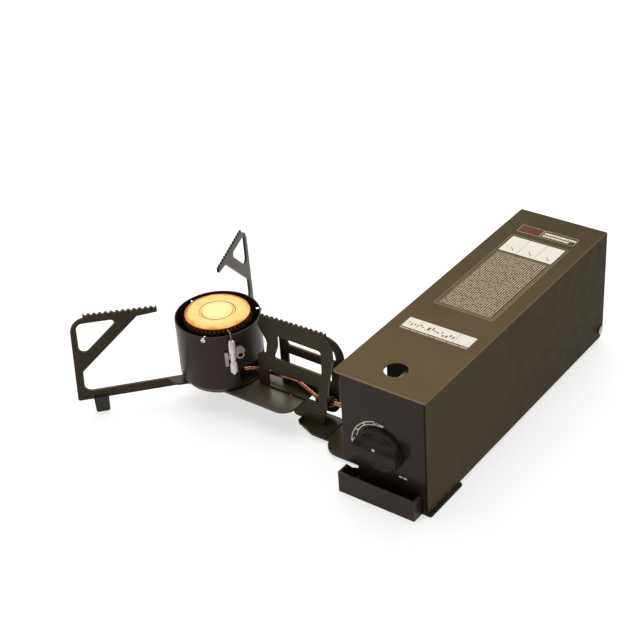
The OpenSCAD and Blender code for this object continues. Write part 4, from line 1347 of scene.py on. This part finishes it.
@dataclass
class BurnerArm(SubAssembly):
    """The floor-level plate, the burner base and the uprights on it, all of them in the frame."""

    def dress(self) -> None:
        """Finishes the plates, the brass block that they turn on and the pivot screws."""
        for node in ("arm_plate", "right_support_plate", "rear_web"):
            self.dress_part(node, ARM_COAT, EdgeBreak.SHEET)
        self.dress_part("burner_base", BASE_COAT, EdgeBreak.SHEET)
        self.dress_part("swivel_block", TURNED_BRASS, EdgeBreak.TURNED)
        self.dress_part("support_pivot_screws", ZINC, EdgeBreak.TURNED)


@dataclass
class GasLine(SubAssembly):
    """The copper pipe, bent from one length on each side of its union."""

    radius: float = 2.0
    bend: float = 6.0
    sides: int = 28
    chords: int = 10
    swivel_radius: float = 8.0
    feed_z: float = 14.0
    union: Triple = (-83.0, 52.5, 25.0)
    pipe_z: float = 29.0
    # The corners of the two lengths, from the swivel, the union and the burner's axis.
    from_swivel: tuple[Triple, ...] = ((0, 0, 0), (-14, 0, 0))
    into_union: tuple[Triple, ...] = ((22, 0, 0), (2, 0, 0))
    out_of_union: tuple[Triple, ...] = ((-8, 0, 0), (-14, 0, 0), (-34, 3.1, 6))
    to_burner: tuple[Triple, ...] = ((42, 9.6, 0), (28, 6, 1), (22.5, 0, 2), (17, 0, 2))

    def routes(self) -> list[list[Vector]]:
        """Places the pipe's corners, which are given from the swivel, the union and the burner.

        Returns:
            The corners of the length before the union and of the one after it.
        """
        swivel = Vector((-self.swivel_radius, PLAN.pivot_y, self.feed_z))
        union = Vector(self.union)
        burner = Vector((*PLAN.burner_axis, self.pipe_z))
        near = ((swivel, self.from_swivel), (union, self.into_union))
        far = ((union, self.out_of_union), (burner, self.to_burner))
        return [[start + Vector(step) for start, steps in route for step in steps] for route in (near, far)]

    def bent(self, corners: list[Vector]) -> list[Vector]:
        """Turns each inner corner of a route into an arc.

        Args:
            corners: the route's corners.

        Returns:
            The route with its bends.
        """
        way = [corners[0]]
        for before, at, after in zip(corners, corners[1:], corners[2:]):
            u, v = (before - at).normalized(), (after - at).normalized()
            half = u.angle(v) / 2
            middle = at + (u + v).normalized() * self.bend / math.sin(half)
            start = at + u * self.bend / math.tan(half) - middle
            end = at + v * self.bend / math.tan(half) - middle
            turn = math.pi - 2 * half
            for k in range(self.chords + 1):
                t = turn * k / self.chords
                way.append(middle + (start * math.sin(turn - t) + end * math.sin(t)) / math.sin(turn))
        return way + [corners[-1]]

    def build(self) -> None:
        """Sweeps the pipe along its two routes."""
        bm = bmesh.new()
        for corners in self.routes():
            self.sweep(bm, self.bent(corners))
        pipe = as_object(bm, "gas_pipe_run")
        smooth(pipe, degrees=50.0)
        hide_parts("gas_pipe")
        place(pipe, COPPER, "arm")

    def sweep(self, bm: bmesh.types.BMesh, way: list[Vector]) -> None:
        """Sweeps a round section along a route that nowhere stands upright.

        Args:
            bm: the mesh that the pipe is added to.
            way: the route's points.
        """
        last = len(way) - 1
        turns = [2 * math.pi * k / self.sides for k in range(self.sides)]
        rings = []
        for i, point in enumerate(way):
            ahead = (way[min(i + 1, last)] - way[max(i - 1, 0)]).normalized()
            side = ahead.cross(Vector((0, 0, 1))).normalized()
            up = side.cross(ahead)
            section = [point + self.radius * (math.cos(a) * side + math.sin(a) * up) for a in turns]
            rings.append([bm.verts.new(spot * MM) for spot in section])
        for low, high in zip(rings, rings[1:]):
            for k in range(self.sides):
                n = (k + 1) % self.sides
                bm.faces.new((low[k], low[n], high[n], high[k]))
        bm.faces.new(list(reversed(rings[0])))
        bm.faces.new(rings[-1])

    def dress(self) -> None:
        """Finishes the union, the jet holder and the mixing tube."""
        self.dress_part("pipe_fitting", GREY_UNION, EdgeBreak.TURNED)
        self.dress_part("jet_holder", TURNED_BRASS, EdgeBreak.TURNED)
        self.dress_part("mixing_tube", ZINC, EdgeBreak.TURNED)


@dataclass
class Burner(SubAssembly):
    """Windshield cup, burner body, flame ring, cap, electrode and the cup's screws."""

    screw_dirs: tuple[float, ...] = (-70.0, 50.0, 170.0)
    screw_drop: float = 2.7
    head_radius: float = 2.1
    head_height: float = 1.3
    head_foot: float = PLAN.cup_radius + 0.1
    shank_radius: float = 1.5
    shank_length: float = 3.6
    tip_radius: float = 1.3
    tip_length: float = 0.3
    # Each point is a share of the head's radius and a height above its foot.
    dome: tuple[Point, ...] = ((1.0, 0.0), (1.0, 0.45), (0.93, 0.8), (0.72, 1.15), (0.5, 1.28))
    recess_share: float = 0.46
    recess_depth: float = 0.6

    def build(self) -> None:
        """Turns the cup's screws, whose domed heads have a recess."""
        bm = bmesh.new()
        for direction in self.screw_dirs:
            self.screw(bm, math.radians(direction))
        screws = as_object(bm, "cup_screw_heads")
        smooth(screws, degrees=30.0)
        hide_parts("cup_screws")
        place(screws, BRIGHT_STEEL, "arm")

    def screw(self, bm: bmesh.types.BMesh, direction: float) -> None:
        """Adds one screw: a domed head with a round recess, on its shank.

        Args:
            bm: the mesh that it is added to.
            direction: its direction from the burner's axis, in radians.
        """
        centre = Matrix.Translation(Vector((*PLAN.burner_axis, PLAN.cup_rim - self.screw_drop)) * MM)
        outward = Matrix.Rotation(direction, 4, "Z") @ Matrix.Rotation(math.pi / 2, 4, "Y")
        foot, tip = self.head_foot, self.head_foot - self.shank_length
        floor = foot + self.head_height - self.recess_depth
        shank = [(0, tip), (self.tip_radius, tip), (self.shank_radius, tip + self.tip_length),
                 (self.shank_radius, foot)]
        head = [(share * self.head_radius, foot + height) for share, height in self.dome]
        recess = [(self.recess_share * self.head_radius, floor), (0, floor)]
        lathe(bm, shank + head + recess, centre @ outward)

    def dress(self) -> None:
        """Finishes the burner's parts."""
        self.dress_part("windshield_cup", CUP_COAT, EdgeBreak.SHEET)
        self.dress_part("burner_body", ALUMINIUM, EdgeBreak.CAST)
        self.dress_part("burner_ring", RING_BRASS, EdgeBreak.FINE)
        self.dress_part("burner_cap", CAP_BRASS, EdgeBreak.TURNED)
        self.dress_part("electrode", CERAMIC, EdgeBreak.FINE)
        self.dress_part("electrode_bracket", CLIP_STEEL, EdgeBreak.FINE)


@dataclass
class FoldingSupport(SubAssembly):
    """One folding pan support and its foot, both in the frame."""

    side: Side = Side.LEFT

    def dress(self) -> None:
        """Finishes the pierced plate and its foot."""
        self.dress_part(f"{self.side.value}_support", ARM_COAT, EdgeBreak.SHEET)
        self.dress_part(f"{self.side.value}_support_foot", RUBBER, EdgeBreak.MOULDED)


# ---- studio -------------------------------------------------------------------------------------

@dataclass
class Studio:
    """Paper floor, soft light and the camera."""

    floor_reach: float = 12.0
    azimuth: float = 38.09
    elevation: float = 33.04
    roll: float = -4.02
    camera_mm: Triple = (503.58, -701.98, 723.10)
    focal_px: float = 1506.25
    image_px: int = 640
    sensor: float = 36.0
    clip: Point = (0.05, 60.0)
    floor_drop: float = 0.05
    sky: Colour = (1.0, 0.985, 0.96)
    sky_strength: float = 0.34
    sun_strength: float = 2.55
    sun_spread: float = 75.0
    sun_tilt: Point = (-16.0, -12.0)
    sun_colour: Colour = (1.0, 0.985, 0.955)
    box_strength: float = 5.0
    box_size: Point = (1.1, 0.6)
    box_colour: Colour = (1.0, 0.95, 0.88)
    box_place: Triple = (-0.75, 0.95, 0.85)
    box_aim: Triple = (-0.05, 0.12, 0.06)

    def floor(self) -> None:
        """Lays the paper floor."""
        bm = bmesh.new()
        bmesh.ops.create_grid(bm, x_segments=8, y_segments=8, size=self.floor_reach)
        paper = as_object(bm, "studio_floor")
        paper.location.z = -self.floor_drop * MM
        coat(paper, PAPER)

    def surround(self) -> None:
        """Puts the pale surround round the stove."""
        world = bpy.data.worlds.new("studio_surround")
        bpy.context.scene.world = world
        world.use_nodes = True
        backdrop = world.node_tree.nodes["Background"]
        backdrop.inputs["Color"].default_value = (*self.sky, 1.0)
        backdrop.inputs["Strength"].default_value = self.sky_strength

    def overhead(self) -> None:
        """Hangs the broad light overhead."""
        sun = bpy.data.lights.new("overhead", "SUN")
        sun.energy = self.sun_strength
        sun.angle = math.radians(self.sun_spread)
        sun.color = self.sun_colour
        hung = bpy.data.objects.new("overhead", sun)
        hung.rotation_euler = (*(math.radians(a) for a in self.sun_tilt), 0.0)
        bpy.context.scene.collection.objects.link(hung)

    def softbox(self) -> None:
        """Stands the softbox behind the burner."""
        box = bpy.data.lights.new("softbox", "AREA")
        box.shape = "RECTANGLE"
        box.size, box.size_y = self.box_size
        box.energy = self.box_strength
        box.color = self.box_colour
        stand = bpy.data.objects.new("softbox", box)
        stand.location = self.box_place
        aim = Vector(self.box_aim) - Vector(self.box_place)
        stand.rotation_mode = "QUATERNION"
        stand.rotation_quaternion = aim.to_track_quat("-Z", "Y")
        bpy.context.scene.collection.objects.link(stand)

    def camera(self) -> None:
        """Sets the camera up where it looks down on the stove from its front right corner."""
        az, el, roll = (math.radians(a) for a in (self.azimuth, self.elevation, self.roll))
        right = Vector((math.cos(az), math.sin(az), 0))
        back = Vector((math.sin(az) * math.cos(el), -math.cos(az) * math.cos(el), math.sin(el)))
        up = back.cross(right)
        turned = right * math.cos(roll) + up * math.sin(roll)
        upright = up * math.cos(roll) - right * math.sin(roll)
        lens = bpy.data.cameras.new("studio_camera")
        lens.sensor_width = self.sensor
        lens.lens = self.focal_px / self.image_px * self.sensor
        lens.clip_start, lens.clip_end = self.clip
        camera = bpy.data.objects.new("studio_camera", lens)
        basis = Matrix((turned, upright, back)).transposed().to_4x4()
        camera.matrix_world = Matrix.Translation(Vector(self.camera_mm) * MM) @ basis
        bpy.context.scene.collection.objects.link(camera)
        bpy.context.scene.camera = camera

    def set_up(self) -> None:
        """Sets the whole studio up."""
        self.floor()
        self.surround()
        self.overhead()
        self.softbox()
        self.camera()
        bpy.context.scene.view_settings.view_transform = "Standard"
        log.info("set up the studio")


def main() -> None:
    """Sets up the studio, then builds and dresses every sub-assembly."""
    logging.basicConfig(level=logging.INFO, format="%(name)s: %(message)s")
    stove: list[SubAssembly] = [CaseCover(), Chassis(), ValveTrain(), ControlKnob(), BurnerArm(), GasLine(),
                                Burner(), FoldingSupport(Side.LEFT), FoldingSupport(Side.REAR)]
    Studio().set_up()
    for assembly in stove:
        assembly.build()
        assembly.dress()
        log.info("finished the %s", type(assembly).__name__)


if __name__ == "__main__":
    main()
